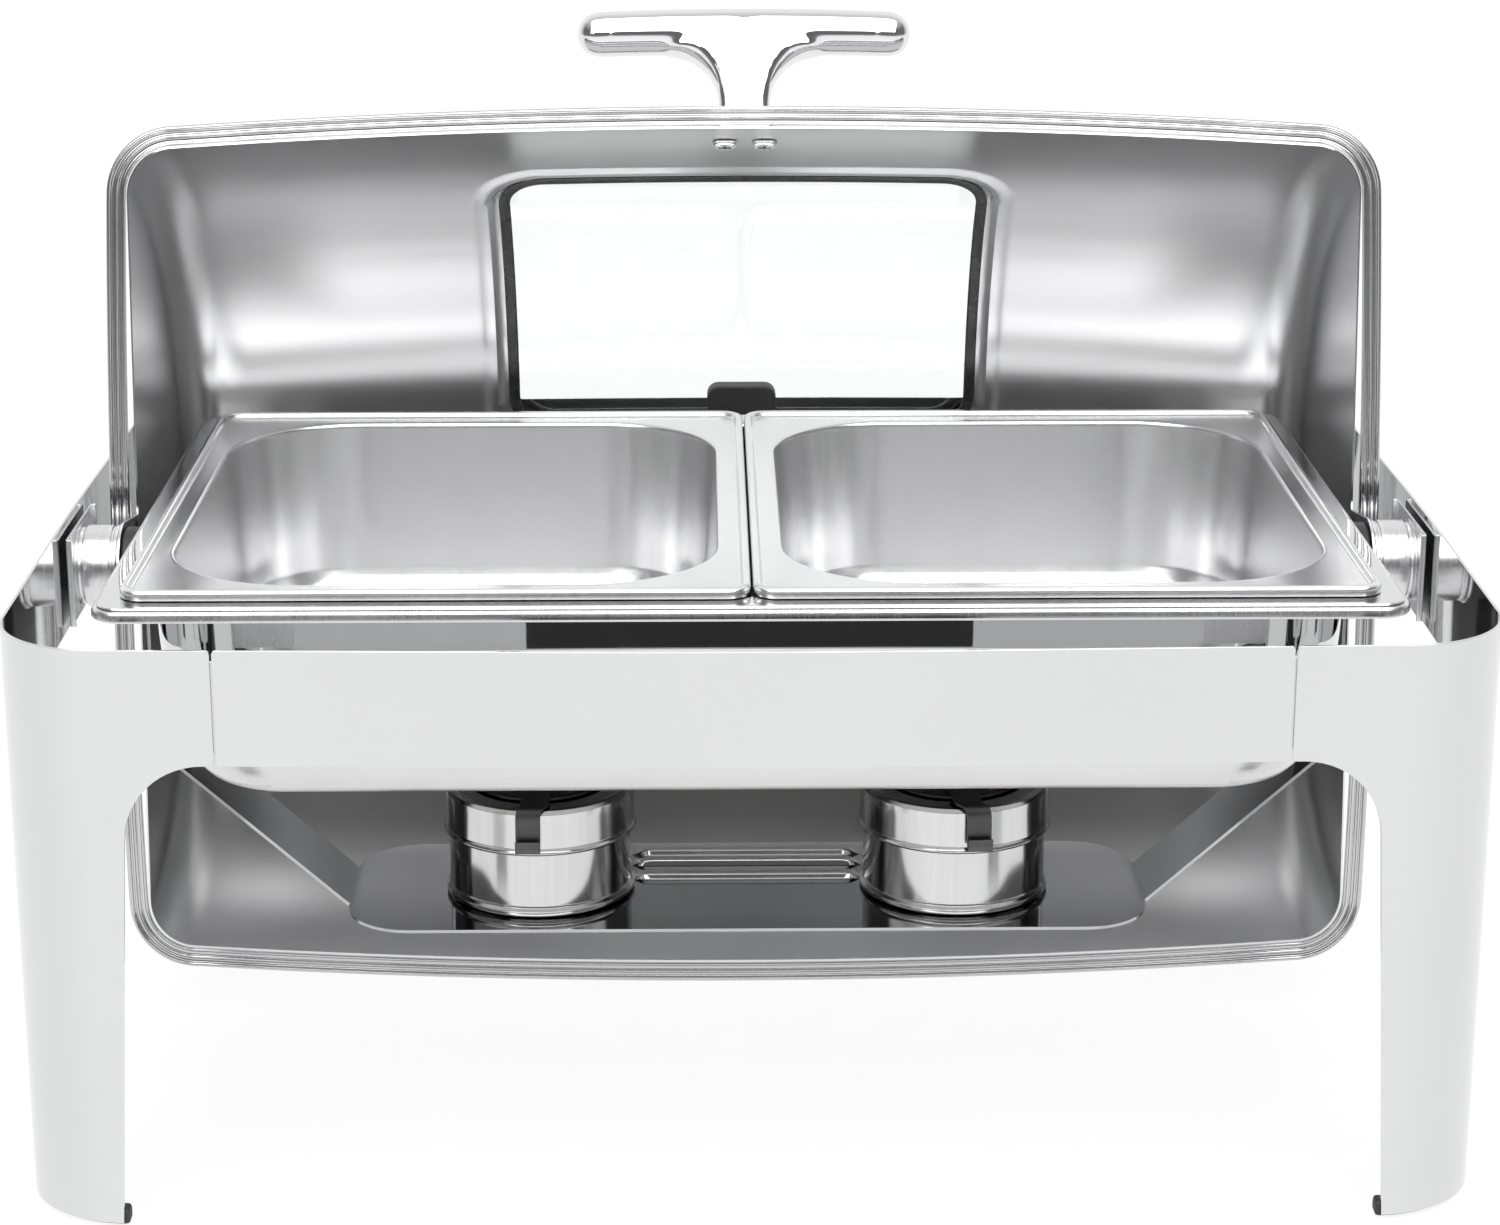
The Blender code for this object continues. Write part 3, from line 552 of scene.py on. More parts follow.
def side_frame(side, sign):
    level = BAND_BOTTOM - ARCH_R
    heights = [LEG_BOTTOM + (level - LEG_BOTTOM) * k / 16 for k in range(16)]
    heights += [level + ARCH_R * sin(pi / 2 * k / 14) for k in range(15)]
    leg = []
    for z in heights:
        start = run_at_x(arch_edge(z, FRONT_ARCH))
        end = run_at_y(arch_edge(z, SIDE_ARCH))
        leg.append([(start + (end - start) * k / 36, z) for k in range(37)])
    first, last = leg[-1][0][0], leg[-1][-1][0]
    half_side = CORNER_RUN + FLAT_Y
    band = []
    for z in band_heights():
        seam = run_at_x(SEAM_X) + corner_inset(z)
        runs = [seam + (first - seam) * k / 3 for k in range(3)] + [run for run, _ in leg[-1]]
        band.append([(run, z) for run in runs + [last + (half_side - last) * k / 12 for k in range(1, 13)]])
    whole = bmesh.new()
    for rows in (leg, band):
        for hand in (-1, 1):
            placed = []
            for row in rows:
                points = [(*run_point(run), z) for run, z in row]
                points = [(*plan_point(sign * x, hand * y), z) for x, y, z in points]
                placed.append(points)
            loft(placed, caps=(False, False), wrap=False, into=whole)
    bmesh.ops.remove_doubles(whole, verts=whole.verts, dist=0.000002)
    bmesh.ops.recalc_face_normals(whole, faces=whole.faces)
    whole.normal_update()
    outer = max(whole.faces, key=lambda f: abs(f.calc_center_median().x))
    if outer.normal.x * sign < 0:
        bmesh.ops.reverse_faces(whole, faces=whole.faces)
    name = "side_frame_" + side
    piece(name + "_skin", whole, "frame", [MIRROR], [name], SHEET, ease=0.3)


def band(name, sign, low_x, high_x, inset, low, high, look, slot, shaped=True):
    rows = []
    for z in band_heights() if shaped else spread([(low, 8), (high, 8)]):
        held = corner_inset(z) if shaped else 0.0
        start, end = low_x + held, high_x - held
        count = max(4, round((end - start) / 9))
        xs = [start + (end - start) * k / count for k in range(count + 1)]
        rows.append([(*plan_point(x, sign * (FRONT_Y - inset)), z) for x in xs])
    bm = grid(rows, lambda p: (0, sign, 0))
    piece(name + "_skin", bm, "frame", [look], [name], SHEET, ease=0.3)


for side, sign in SIDES:
    side_frame(side, sign)
for end, sign in (("front", -1), ("rear", 1)):
    band(end + "_band", sign, -BAND_HALF, BAND_HALF, 0.0, 0, 0, MIRROR, "mirror_steel")
    for side, hand in SIDES:
        name = "band_splice_" + end + "_" + side
        low, high = span(name, 2)
        centre = hand * SEAM_X
        near, far = centre - SPLICE_HALF, centre + SPLICE_HALF
        band(name, sign, near, far, SHEET + LINING_GAP, low, high, TURNED, "satin_steel", False)

# A soft strip inside the front band
pad_half = span("front_pad", 0)[1]
low, high = span("front_pad", 2)
band("front_pad", -1, -pad_half, pad_half, SHEET + LINING_GAP, low, high, RUBBER, "black_rubber", False)

# A rubber pad stands inside each leg's rounded corner and goes FOOT_PAST degrees past its ends
FOOT_TOP = 7.0
FOOT_THICK = 8.0
FOOT_GAP = 0.4
FOOT_PAST = 0.3
for end, sign_y in (("front", -1), ("rear", 1)):
    for side, sign_x in SIDES:
        name = f"foot_{end}_{side}"
        low = span(name, 2)[0]
        arc = [radians(-FOOT_PAST + (90 + 2 * FOOT_PAST) * k / 24) for k in range(25)]
        outer = CORNER_R - SHEET - FOOT_GAP
        inner = outer - FOOT_THICK
        outline = [(outer * cos(a), outer * sin(a)) for a in arc]
        outline += [(inner * cos(a), inner * sin(a)) for a in reversed(arc)]
        placed = [(sign_x * (FLAT_X + a), sign_y * (FLAT_Y + b)) for a, b in outline]
        pad = flat([placed], 2, low, FOOT_TOP)
        piece(name + "_pad", pad, "frame", [RUBBER], [name], ease=1.6)


# The hinges ------------

BOSS = [
    (6.3, 309.2), (19.3, 309.2), (19.4, 308.3), (18.0, 307.4), (17.6, 306.2), (19.0, 305.2),
    (19.0, 293.4), (18.2, 292.8), (18.2, 292.0), (19.0, 291.4), (18.6, 290.0), (6.3, 290.0),
]
SPACER = [
    (6.3, 288.0), (17.2, 288.0), (18.0, 287.0), (18.0, 279.0), (16.6, 277.4), (15.5, 276.4),
    (6.3, 276.4),
]
SHAFT = [
    (0.0, 308.8), (5.4, 308.8), (6.0, 308.2), (6.0, 267.2), (5.4, 266.6), (2.2, 266.6), (1.8, 268.0),
    (0.0, 268.0),
]
PLATE_PATH = [(306.8, -33.0), (309.7, -33.0), (309.7, 33.0), (306.8, 33.0)]
NUT_X = (268.2, 273.2)
NUT_FLAT = 9.1
NUT_CHAMFER = 0.9
NUT_FACE_R = 9.3
NUT_HOLE_R = 6.2
UNCHAMFERED = 20


def along_x(sign):
    """Turns a height along +Z into a distance out along X, on the axle."""
    return Matrix.Translation((0, 0, PIVOT_Z)) @ Matrix.Rotation(sign * pi / 2, 4, "Y")


def hexagon(distance, most, steps=48):
    """The nut's hexagon across the axle, with its corners held back to the radius most."""
    points = []
    for k in range(steps):
        a = 2 * pi * k / steps
        corner = NUT_FLAT / cos((a % (pi / 3)) - pi / 6)
        r = min(corner, most)
        points.append((distance, r * cos(a), PIVOT_Z + r * sin(a)))
    return points


for side, sign in SIDES:
    place = along_x(sign)
    rounded_boss = turned(eased(BOSS, 0.4), place, True, 96)
    name = "hinge_boss_" + side
    piece(name + "_turned", rounded_boss, "frame", [TURNED], [name])
    name = "friction_spacer_" + side
    piece(name + "_ring", turned(eased(SPACER, 0.6), place, True), "frame", [RUBBER], [name])
    name = "pivot_shaft_" + side
    shaft = turned(eased(SHAFT, 0.3, closed=False), place, steps=48)
    piece(name + "_pin", shaft, "frame", [CHROME], [name])

    name = "hinge_plate_" + side
    path = [(sign * x, y) for x, y in eased(PLATE_PATH, 1.4, 5, closed=False)]
    low, high = span(name, 2)
    rows = [[(x, y, z) for x, y in path] for z in spread([(low, 6), (high, 6)])]
    channel = grid(rows, lambda p: (-sign, 0, 0))
    piece(name + "_channel", channel, "frame", [TURNED], [name], 1.2, 1.0, ease=0.3)

    name = "shaft_nut_" + side
    inner, outer = NUT_X
    whole = [(inner + NUT_CHAMFER, UNCHAMFERED), (outer - NUT_CHAMFER, UNCHAMFERED)]
    stations = [(inner, NUT_FACE_R), *whole, (outer, NUT_FACE_R)]
    nut = loft([hexagon(sign * x, most) for x, most in stations])
    hole = loft([[(sign * x, a, PIVOT_Z + b) for a, b in circle(NUT_HOLE_R)] for x in (inner - 1, outer + 1)])
    piece(name + "_hex", nut, "frame", [CHROME], [name], cuts=[hole], sharp=30)


# The pan carrier and the fuel hanger ------------

CARRIER = [
    (275.3, 174.5, 13.0, 252.6), (275.3, 174.5, 13.0, 255.0), (274.4, 173.6, 12.1, 256.3),
    (267.4, 165.4, 6.0, 256.3), (266.6, 164.6, 6.0, 255.6), (266.6, 164.6, 6.0, 252.0),
    (267.2, 165.2, 6.0, 251.4), (274.2, 173.4, 12.0, 251.4),
]
carrier = loft([rounded(*row) for row in CARRIER], ring=True)
piece("pan_carrier_frame", carrier, "frame", [TURNED], ["pan_carrier"], ease=0.3)

ARM_X = 274.8
ARM_TOP = 250.9
BEND_Z = 146.5
SHELF_END = 187.0
SHELF_HALF = 56.5
SHELF_CORNER = 30.0
ARM_HALF = 24.0
HANGER_SHEET = 1.5
HANGER_COLUMNS = 240
SHELF_STEP = 3.0
ARM_STEP = 9.0
SHAFT_HOLE_R = 6.4
RIB_Y = (10.0, 28.0, 42.0)
RIB_HALF = 3.7
RIB_SLOPE = 1.1
RIB_RISE = 2.8
RIB_END = 56.0
RIB_RUN_OUT = 7.0


def hanger_half_width(x, z):
    """Half the hanger's depth in Y: broad along the shelf, with rounded ends that narrow to the straps."""
    over = max(0.0, abs(x) - (SHELF_END - SHELF_CORNER))
    shelf = SHELF_HALF - SHELF_CORNER + sqrt(max(0.0, SHELF_CORNER**2 - over**2))
    return max(ARM_HALF, shelf) if abs(x) < SHELF_END and z < SHELF_Z + 8 else ARM_HALF


def rib_rise(x, y):
    """The height of the pressed ribs on the shelf between the burners, near its rear edge."""
    away = min(abs(y - centre) for centre in RIB_Y)
    rise = RIB_RISE * (1 - ramp(away, RIB_HALF - RIB_SLOPE, RIB_HALF))
    return rise * (1 - ramp(abs(x), RIB_END - RIB_RUN_OUT, RIB_END))


def hanger():
    """One strip of sheet: down from the axle, in to the shelf, across it and up again, holed for the axle."""
    corners = [(-ARM_X, ARM_TOP), (-ARM_X, BEND_Z), (-SHELF_END, SHELF_Z)]
    corners += [(-x, z) for x, z in reversed(corners)]
    bends = eased(corners, 7.0, 6, closed=False)
    path = []
    for a, b in zip(bends, bends[1:]):
        step = SHELF_STEP if abs(a[1] - b[1]) < 0.01 else ARM_STEP
        count = max(1, round(hypot(b[0] - a[0], b[1] - a[1]) / step))
        path += [(a[0] + (b[0] - a[0]) * k / count, a[1] + (b[1] - a[1]) * k / count) for k in range(count)]
    path.append(bends[-1])
    shares = [2 * k / HANGER_COLUMNS - 1 for k in range(HANGER_COLUMNS + 1)]
    rows = []
    for x, z in path:
        half = hanger_half_width(x, z)
        on_shelf = z < SHELF_Z + 0.01
        ys = [half * share for share in shares]
        rows.append([(x, y, z + (rib_rise(x, y) if on_shelf else 0.0)) for y in ys])
    bm = grid(rows, lambda p: (0, 0, 1))
    holes = [flat([circle(SHAFT_HOLE_R, 0.0, PIVOT_Z)], 0, -ARM_X - 9, ARM_X + 9)]
    name = "fuel_hanger"
    piece(name + "_strap", bm, "frame", [STRAP], [name], HANGER_SHEET, cuts=holes, ease=0.35)


hanger()

# The rear bumper, slotted from below to sit on the rear band
BUMPER_HALF = span("rear_bumper", 0)[1]
BUMPER_SLOT = (224.2, 226.6)
SLOT_FOOT = 240.0
SLOT_TOP = BAND_TOP + 0.4
low, high = span("rear_bumper", 2)
corners = [(-BUMPER_HALF, low, 2.5), (BUMPER_HALF, low, 2.5), (BUMPER_HALF, high, 6), (-BUMPER_HALF, high, 6)]
bumper = flat([eased(corners, steps=8)], 1, *span("rear_bumper", 1))
near, far = BUMPER_SLOT
slot = flat([[(near, SLOT_FOOT), (far, SLOT_FOOT), (far, SLOT_TOP), (near, SLOT_TOP)]], 0, -30, 30)
piece("rear_bumper_block", bumper, "frame", [RUBBER], ["rear_bumper"], cuts=[slot], ease=1.3)


# The lid, in its own axes: the axle at the origin and the dome up ------------

SHELL_R = 202.0
SHELL_SAG = 7.6
SHELL_END = 287.2
SHELL_FILLET = 22.0
SHELL_T = 0.8
LID_EDGE = 31.5
WINDOW_AT = radians(124.5)
HANDLE_AT = radians(162.0)
HOLE = (118.3, 83.6, 21.0)
FRAME_OUT = 14.5
PLATEAU_DROP = 1.1
PLATEAU_STEP = 2.2
SEAT_LIFT = 3.4
SEAT_FROM = 4.2
SEAT_TO = 7.8
NEAR_HOLE_X = (94, 138)
NEAR_HOLE_ARC = (58, 104)
SNAP = 1.2


def shell_radius(x):
    return SHELL_R - SHELL_SAG * (x / 250.0) ** 2


def from_outline(a, b, half_a, half_b, corner):
    """How far a point is outside a rounded rectangle, and below 0 inside it."""
    p, q = abs(a) - half_a + corner, abs(b) - half_b + corner
    return hypot(max(p, 0.0), max(q, 0.0)) + min(max(p, q), 0.0) - corner


def pressed(away):
    """The lift of the shell round the window: a low plateau, then a step out to the glazing seat."""
    plateau = -PLATEAU_DROP * (1 - ramp(away, FRAME_OUT - PLATEAU_STEP, FRAME_OUT))
    return plateau + SEAT_LIFT * (1 - ramp(away, SEAT_FROM, SEAT_TO))


def shell_profile():
    """(x, radius) from the middle over the dome's slight barrel, round the fillet and down the end wall."""
    edge = SHELL_END - SHELL_FILLET
    top = shell_radius(edge)
    near, far = NEAR_HOLE_X
    points = [(x, shell_radius(x)) for x in spread([(0, 10), (near, 2), (far, 8), (edge, 8)])]
    for k in range(1, 13):
        a = pi / 2 * (1 - k / 12)
        points.append((edge + SHELL_FILLET * cos(a), top - SHELL_FILLET * (1 - sin(a))))
    points += [(SHELL_END, r) for r in spread([(10.0, 12), (points[-1][1], 12)])[-2::-1]]
    return [(-x, r) for x, r in reversed(points[1:])] + points


def on_dome(x, arc, lift, r=None):
    """A point of the dome: arc is measured round it from the window's centre."""
    a = WINDOW_AT + arc / SHELL_R
    r = shell_radius(x) if r is None else r
    return (x, (r + lift) * cos(a), (r + lift) * sin(a))


def lid_shell():
    """The pressed dome with its window hole. Points close to the hole's outline are moved onto it."""
    profile = shell_profile()
    first = (radians(3) - WINDOW_AT) * SHELL_R
    last = (radians(177) - WINDOW_AT) * SHELL_R
    near, far = NEAR_HOLE_ARC
    arcs = spread([(first, 8), (-far, 2), (-near, 10), (near, 2), (far, 8), (last, 8)])
    bm = bmesh.new()
    grid_verts = []
    for arc in arcs:
        row = []
        for x, r in profile:
            away = from_outline(x, arc, *HOLE)
            a, b = x, arc
            if abs(away) < SNAP and abs(x) < SHELL_END:
                step_a = from_outline(x + 0.01, arc, *HOLE) - away
                step_b = from_outline(x, arc + 0.01, *HOLE) - away
                a, b = x - away * step_a / 0.01, arc - away * step_b / 0.01
            lift = pressed(away) if away < FRAME_OUT else 0.0
            row.append(bm.verts.new(Vector(on_dome(a, b, lift, r)) * MM))
        grid_verts.append(row)
    for i in range(len(arcs) - 1):
        row, following = grid_verts[i], grid_verts[i + 1]
        for j in range(len(profile) - 1):
            centre_x = (profile[j][0] + profile[j + 1][0]) / 2
            if from_outline(centre_x, (arcs[i] + arcs[i + 1]) / 2, *HOLE) >= 0:
                bm.faces.new((row[j], row[j + 1], following[j + 1], following[j]))
    bmesh.ops.delete(bm, geom=[v for v in bm.verts if not v.link_faces], context="VERTS")
    everything = bm.verts[:] + bm.edges[:] + bm.faces[:]
    edge = Vector((0, 0, LID_EDGE * MM))
    up = (0, 0, 1)
    bmesh.ops.bisect_plane(bm, geom=everything, dist=0.00001, plane_co=edge, plane_no=up, clear_inner=True)
    bmesh.ops.recalc_face_normals(bm, faces=bm.faces)
    highest = max(bm.faces, key=lambda f: f.calc_center_median().z)
    if highest.normal.z < 0:
        bmesh.ops.reverse_faces(bm, faces=bm.faces)
    bm.transform(LID)
    piece("lid_dome", bm, "lid", [MIRROR, INNER], ["lid_shell"], SHELL_T, 1.0, sharp=35)


LONG_STRETCH = 30.0


def straightened(loop, steps=10):
    """The loop with its long straight stretches divided, so that they follow the dome."""
    made = []
    for i, point in enumerate(loop):
        here, after = Vector(point), Vector(loop[(i + 1) % len(loop)])
        count = steps if (after - here).length > LONG_STRETCH else 1
        made += [tuple(here.lerp(after, k / steps)) for k in range(count)]
    return made


def window_ring(section):
    """A closed (out, lift) section swept round the window, following the dome."""
    half_x, half_arc, corner = HOLE
    loops = []
    for out, lift in section:
        flat_loop = rounded(half_x + out, half_arc + out, max(2.0, corner + out), 0, steps=14)
        loops.append([on_dome(x, arc, lift) for x, arc, _ in straightened(flat_loop)])
    return loft(loops, ring=True)


def window_sheet(inset, lift, thickness):
    """The pane: rows of a rounded rectangle wrapped on the dome."""
    half_x, half_arc, corner = HOLE[0] - inset, HOLE[1] - inset, HOLE[2] - inset
    turns = [pi / 2 * k / 10 for k in range(11)]
    ends = [(half_arc - corner * (1 - sin(a)), half_x - corner * (1 - cos(a))) for a in turns]
    straight = [(half_arc - corner) * k / 8 for k in range(-7, 8)]
    rows = [(-s, w) for s, w in reversed(ends)] + [(s, half_x) for s in straight] + ends
    made = [[on_dome(w * k / 24, s, lift) for k in range(-24, 25)] for s, w in rows]
    bm = grid(made, lambda p: (0, cos(WINDOW_AT), sin(WINDOW_AT)))
    bm.transform(LID)
    piece("window_pane", bm, "lid", [GLASS], ["window_glass"], thickness, 1.0, sharp=40)


GASKET = [
    (-3.3, 2.0), (-2.6, 1.45), (-1.0, 1.3), (0.8, 1.4), (2.1, 1.7), (2.0, 2.2), (0.4, 2.25),
    (0.4, 3.15), (1.6, 3.2), (1.9, 3.8), (0.8, 4.3), (-1.6, 4.3), (-2.9, 3.8), (-3.3, 3.0),
]

lid_shell()
window_sheet(2.2, 2.2, 1.2)
gasket = window_ring(through(GASKET, 3, True))
gasket.transform(LID)
piece("window_seal", gasket, "lid", [GLOSSY_RUBBER], ["window_gasket"], sharp=60)

RIM_SECTION = [
    (0.5, 31.6), (0.6, 30.9), (1.1, 30.5), (1.7, 30.8), (2.1, 31.3), (3.6, 31.4), (4.0, 30.9),
    (4.6, 30.5), (5.2, 30.9), (5.6, 31.4), (7.0, 31.3), (7.3, 30.6), (7.9, 30.1), (8.7, 30.2),
    (9.3, 31.0), (9.4, 32.4), (9.2, 33.8), (8.4, 34.7), (7.4, 34.7), (6.6, 34.1), (6.0, 33.4),
    (4.8, 33.0), (2.6, 33.0), (0.5, 33.0),
]
RIM_BOW = 2.9
RIM_SIDE_HALF = 172.0


def rim_loop(out, z):
    """The lid's edge seen from below, moved outward by out, with a slight bow in its short sides."""
    edge = SHELL_END - SHELL_FILLET
    long_y = sqrt((shell_radius(edge) + SHELL_T) ** 2 - LID_EDGE**2)
    centre_y = long_y - SHELL_FILLET - SHELL_T
    corner = SHELL_FILLET + SHELL_T + out
    quarter = []
    for x in spread([(0, 12), (edge - 1, 12)]):
        quarter.append((x, sqrt((shell_radius(x) + SHELL_T) ** 2 - LID_EDGE**2) + out))
    for k in range(17):
        a = radians(86 - 84 * k / 16)
        quarter.append((edge + corner * cos(a), centre_y + corner * sin(a)))
    for y in spread([(-centre_y + 3, 12), (0, 12)]):
        quarter.append((SHELL_END + SHELL_T + out + RIM_BOW * (1 - (y / RIM_SIDE_HALF) ** 2), -y))
    right = quarter + [(x, -y) for x, y in reversed(quarter[:-1])]
    return [(x, y, z) for x, y in right + [(-x, y) for x, y in reversed(right[1:-1])]]


rim = loft([rim_loop(out, z) for out, z in through(RIM_SECTION, 3, True)], ring=True)
rim.transform(LID)
piece("lid_rim_beaded", rim, "lid", [ROLLED], ["lid_rim"], sharp=70)

ARM_R = 20
ARM_END_HALF = 17.5
ARM_END_Z = 64
TEARDROP = [(ARM_R * cos(radians(a)), ARM_R * sin(radians(a))) for a in range(180, 361, 6)]
arm_end = [(ARM_R, 0, 0), (ARM_END_HALF, ARM_END_Z, 8), (-ARM_END_HALF, ARM_END_Z, 8), (-ARM_R, 0, 0)]
TEARDROP += eased(arm_end, steps=8)[1:-1]
ARM_PLATE_X = (288.3, 289.6)
RIVET = [(0.0, 291.5), (1.6, 291.4), (3.0, 290.9), (3.8, 289.9), (2.0, 289.9), (2.0, 286.9), (3.8, 286.9)]
RIVET += [(3.0, 286.0), (1.6, 285.5), (0.0, 285.4)]
RIVET_Y = 9.0
RIVET_Z = 50.0
LID_MM = Matrix.Rotation(LID_OPEN, 4, "X")
LID_MM.translation = (0, 0, PIVOT_Z)
for side, sign in SIDES:
    holes = [circle(6.3)] + [circle(2.3, y, RIVET_Z, 16) for y in (-RIVET_Y, RIVET_Y)]
    arm = flat([TEARDROP, *holes], 0, *(sign * x for x in ARM_PLATE_X))
    arm.transform(LID)
    name = "lid_arm_" + side
    piece(name + "_plate", arm, "lid", [TURNED], [name], ease=0.35)
    for end, y in (("front", -RIVET_Y), ("rear", RIVET_Y)):
        place = LID_MM @ Matrix.Translation((0, y, RIVET_Z)) @ Matrix.Rotation(sign * pi / 2, 4, "Y")
        name = f"arm_rivet_{side}_{end}"
        piece(name + "_domed", turned(RIVET, place, steps=32), "lid", [CHROME], [name])


# The handle, a bar whose underside flares into its stem ------------

BAR = (
    (79.4, 254.9, 1.0, 1.4), (79.0, 254.9, 3.0, 3.8), (77.9, 254.9, 5.4, 6.4), (75.8, 254.9, 7.8, 8.9),
    (72.8, 255.0, 9.5, 10.7), (69.0, 255.1, 10.3, 11.6), (60.0, 255.4, 10.4, 11.8),
    (46.0, 255.8, 10.5, 11.6), (28.0, 256.1, 10.7, 11.4), (0.0, 256.3, 10.8, 11.2),
)
STEM_FOOT = 203.2
STEM_HALF = 12.2
STEM_FOOT_SPREAD = 4.3
STEM_THICK = 8.2
STEM_POWER = 0.45
BAR_THICK = 11.0
BAR_POWER = 0.85
FLARE = 27.0
FLARE_TOP = 246.4
RIDGE_HALF = 9.0
RIDGE_SWELL = 0.16
RIDGE_FADE = (250.0, 262.0)


def along_handle(x, out, across):
    """A point of the handle: out along its stem from the axle, and across the stem round the dome."""
    c, s = cos(HANDLE_AT), sin(HANDLE_AT)
    return (x, out * c - across * s, out * s + across * c)


def oval(x_radius, y_radius, power, steps=48):
    """An oval's points, which near a rounded box as power falls from 1."""
    points = []
    for k in range(steps):
        c, s = cos(2 * pi * k / steps), sin(2 * pi * k / steps)
        points.append((copysign(x_radius * abs(c) ** power, c), copysign(y_radius * abs(s) ** power, s)))
    return points


def stem_loop(out):
    """A section of the stem: a foot on the dome, a waist, then round flares that thicken out to the bar."""
    foot = STEM_FOOT_SPREAD * (1 - ramp(out, STEM_FOOT, STEM_FOOT + 10))
    over = min(FLARE, max(0.0, out - FLARE_TOP + FLARE))
    half = STEM_HALF + foot + FLARE - sqrt(FLARE**2 - over**2)
    thick = STEM_THICK + (BAR_THICK - STEM_THICK) * ramp(out, 214, 252)
    return [along_handle(a, out, b) for a, b in oval(half, thick, STEM_POWER)]


def handle():
    """The bar and the stem as one casting, softened, with a low ridge down the middle of its stem."""
    bar = []
    stations = [(-x, *rest) for x, *rest in BAR] + list(reversed(BAR[:-1]))
    for x, out, high, wide in through(stations, 3):
        bar.append([along_handle(x, out + b, a) for a, b in oval(wide, high, BAR_POWER, 40)])
    stem = loft([stem_loop(out) for out in spread([(STEM_FOOT, 2), (FLARE_TOP, 1), (FLARE_TOP + 6, 1)])])
    obj = drawn_object("handle_form", loft(bar))
    cut(obj, stem, "UNION")
    remesh = obj.modifiers.new("voxels", "REMESH")
    remesh.mode = "VOXEL"
    remesh.voxel_size = 1.0 * MM
    worked_in(obj)
    soften = obj.modifiers.new("soften", "SMOOTH")
    soften.factor = 0.5
    soften.iterations = 26
    worked_in(obj)
    bm = bmesh.new()
    bm.from_mesh(obj.data)
    bpy.data.objects.remove(obj, do_unlink=True)
    for vert in bm.verts:
        x, y, z = vert.co / MM
        out = y * cos(HANDLE_AT) + z * sin(HANDLE_AT)
        across = -y * sin(HANDLE_AT) + z * cos(HANDLE_AT)
        ridge = max(0.0, 1 - abs(x) / RIDGE_HALF) ** 1.5 * ramp(out, STEM_FOOT + 3, STEM_FOOT + 14)
        ridge *= 1 - ramp(out, *RIDGE_FADE)
        across *= 1 + RIDGE_SWELL * ridge
        vert.co = Vector(along_handle(x, out, across)) * MM
    bm.transform(LID)
    piece("lid_handle_cast", bm, "lid", [CHROME], ["lid_handle"], sharp=180)


handle()

SCREW = [
    (0.0, 198.9), (2.6, 199.0), (4.6, 199.5), (5.7, 200.4), (6.0, 201.5), (2.5, 201.5), (2.5, 214.0),
    (0.0, 214.0),
]
SCREW_X = 9.4
CROSS_ARM = 3.2
CROSS_HALF = 0.7
TO_HANDLE = LID_MM @ Matrix.Rotation(HANDLE_AT - pi / 2, 4, "X")
for side, sign in SIDES:
    place = TO_HANDLE @ Matrix.Translation((sign * SCREW_X, 0, 0))
    arms = []
    for half_a, half_b in ((CROSS_ARM, CROSS_HALF), (CROSS_HALF, CROSS_ARM)):
        box = [(half_a, half_b), (-half_a, half_b), (-half_a, -half_b), (half_a, -half_b)]
        arms.append(loft([[place @ Vector((a, b, z)) for a, b in box] for z in (196.0, 200.4)]))
    name = "handle_screw_" + side
    screw = turned(SCREW, place, steps=40)
    piece(name + "_cross", screw, "lid", [CHROME], [name], cuts=arms, sharp=40)


# The water pan and the two food pans ------------

WATER_SECTION = (
    (273.0, 172.0, 11.5, -1.0), (273.3, 172.3, 11.6, -0.5), (273.0, 172.0, 11.4, -0.1),
    (272.2, 171.2, 11.0, 0.0), (266.0, 165.5, 12.0, 0.0), (259.5, 159.3, 14.0, 0.0),
    (257.2, 157.2, 22.0, -0.1), (255.6, 155.6, 34.0, -0.9), (254.9, 154.9, 38.0, -2.4),
    (254.6, 154.6, 38.4, -5.6), (254.3, 154.3, 38.5, -16.0), (254.0, 154.0, 38.5, -26.0),
    (252.9, 152.9, 38.4, -38.0), (250.0, 150.0, 38.2, -53.0), (246.8, 146.8, 38.0, -68.0),
    (245.2, 145.2, 37.8, -76.0), (242.6, 142.6, 37.3, -84.0), (238.0, 138.0, 35.0, -90.2),
    (232.5, 132.5, 32.0, -93.6), (225.0, 125.0, 28.0, -95.1), (216.0, 116.0, 22.0, -95.3),
)
PAN_SECTION = (
    (132.2, 162.3, 10.5, 0.4), (132.25, 162.35, 10.5, 1.6), (132.2, 162.3, 10.5, 2.9),
    (131.8, 161.9, 10.1, 3.9), (130.9, 161.0, 9.4, 4.6), (130.0, 160.1, 9.0, 4.8),
    (129.1, 159.2, 8.8, 4.5), (128.5, 158.6, 8.7, 3.6), (128.1, 158.2, 8.6, 2.7),
    (127.4, 157.5, 9.0, 2.35), (126.0, 155.8, 12.0, 2.35), (123.4, 152.2, 34.0, 2.4),
    (121.0, 148.9, 54.0, 2.5), (119.7, 147.1, 60.0, 2.6), (118.9, 146.1, 60.2, 2.3),
    (118.4, 145.5, 60.0, 1.5), (118.1, 145.1, 59.6, 0.0), (117.9, 144.9, 59.4, -2.4),
    (116.5, 143.5, 58.2, -19.0), (112.8, 139.8, 56.0, -64.5), (111.9, 138.9, 55.4, -72.0),
    (109.8, 136.8, 54.0, -78.0), (106.4, 133.4, 51.6, -81.6), (102.0, 129.0, 48.5, -83.0),
    (96.0, 123.0, 45.0, -83.1),
)
WARMED_DEPTH = 73.0
# How deep and how far down-facing a face of the water pan must be to take the heat tint and painted shade
HEAT_TINT_AND_SHADE_DEPTH = 88.0
HEAT_TINT_AND_SHADE_FACING = -0.7


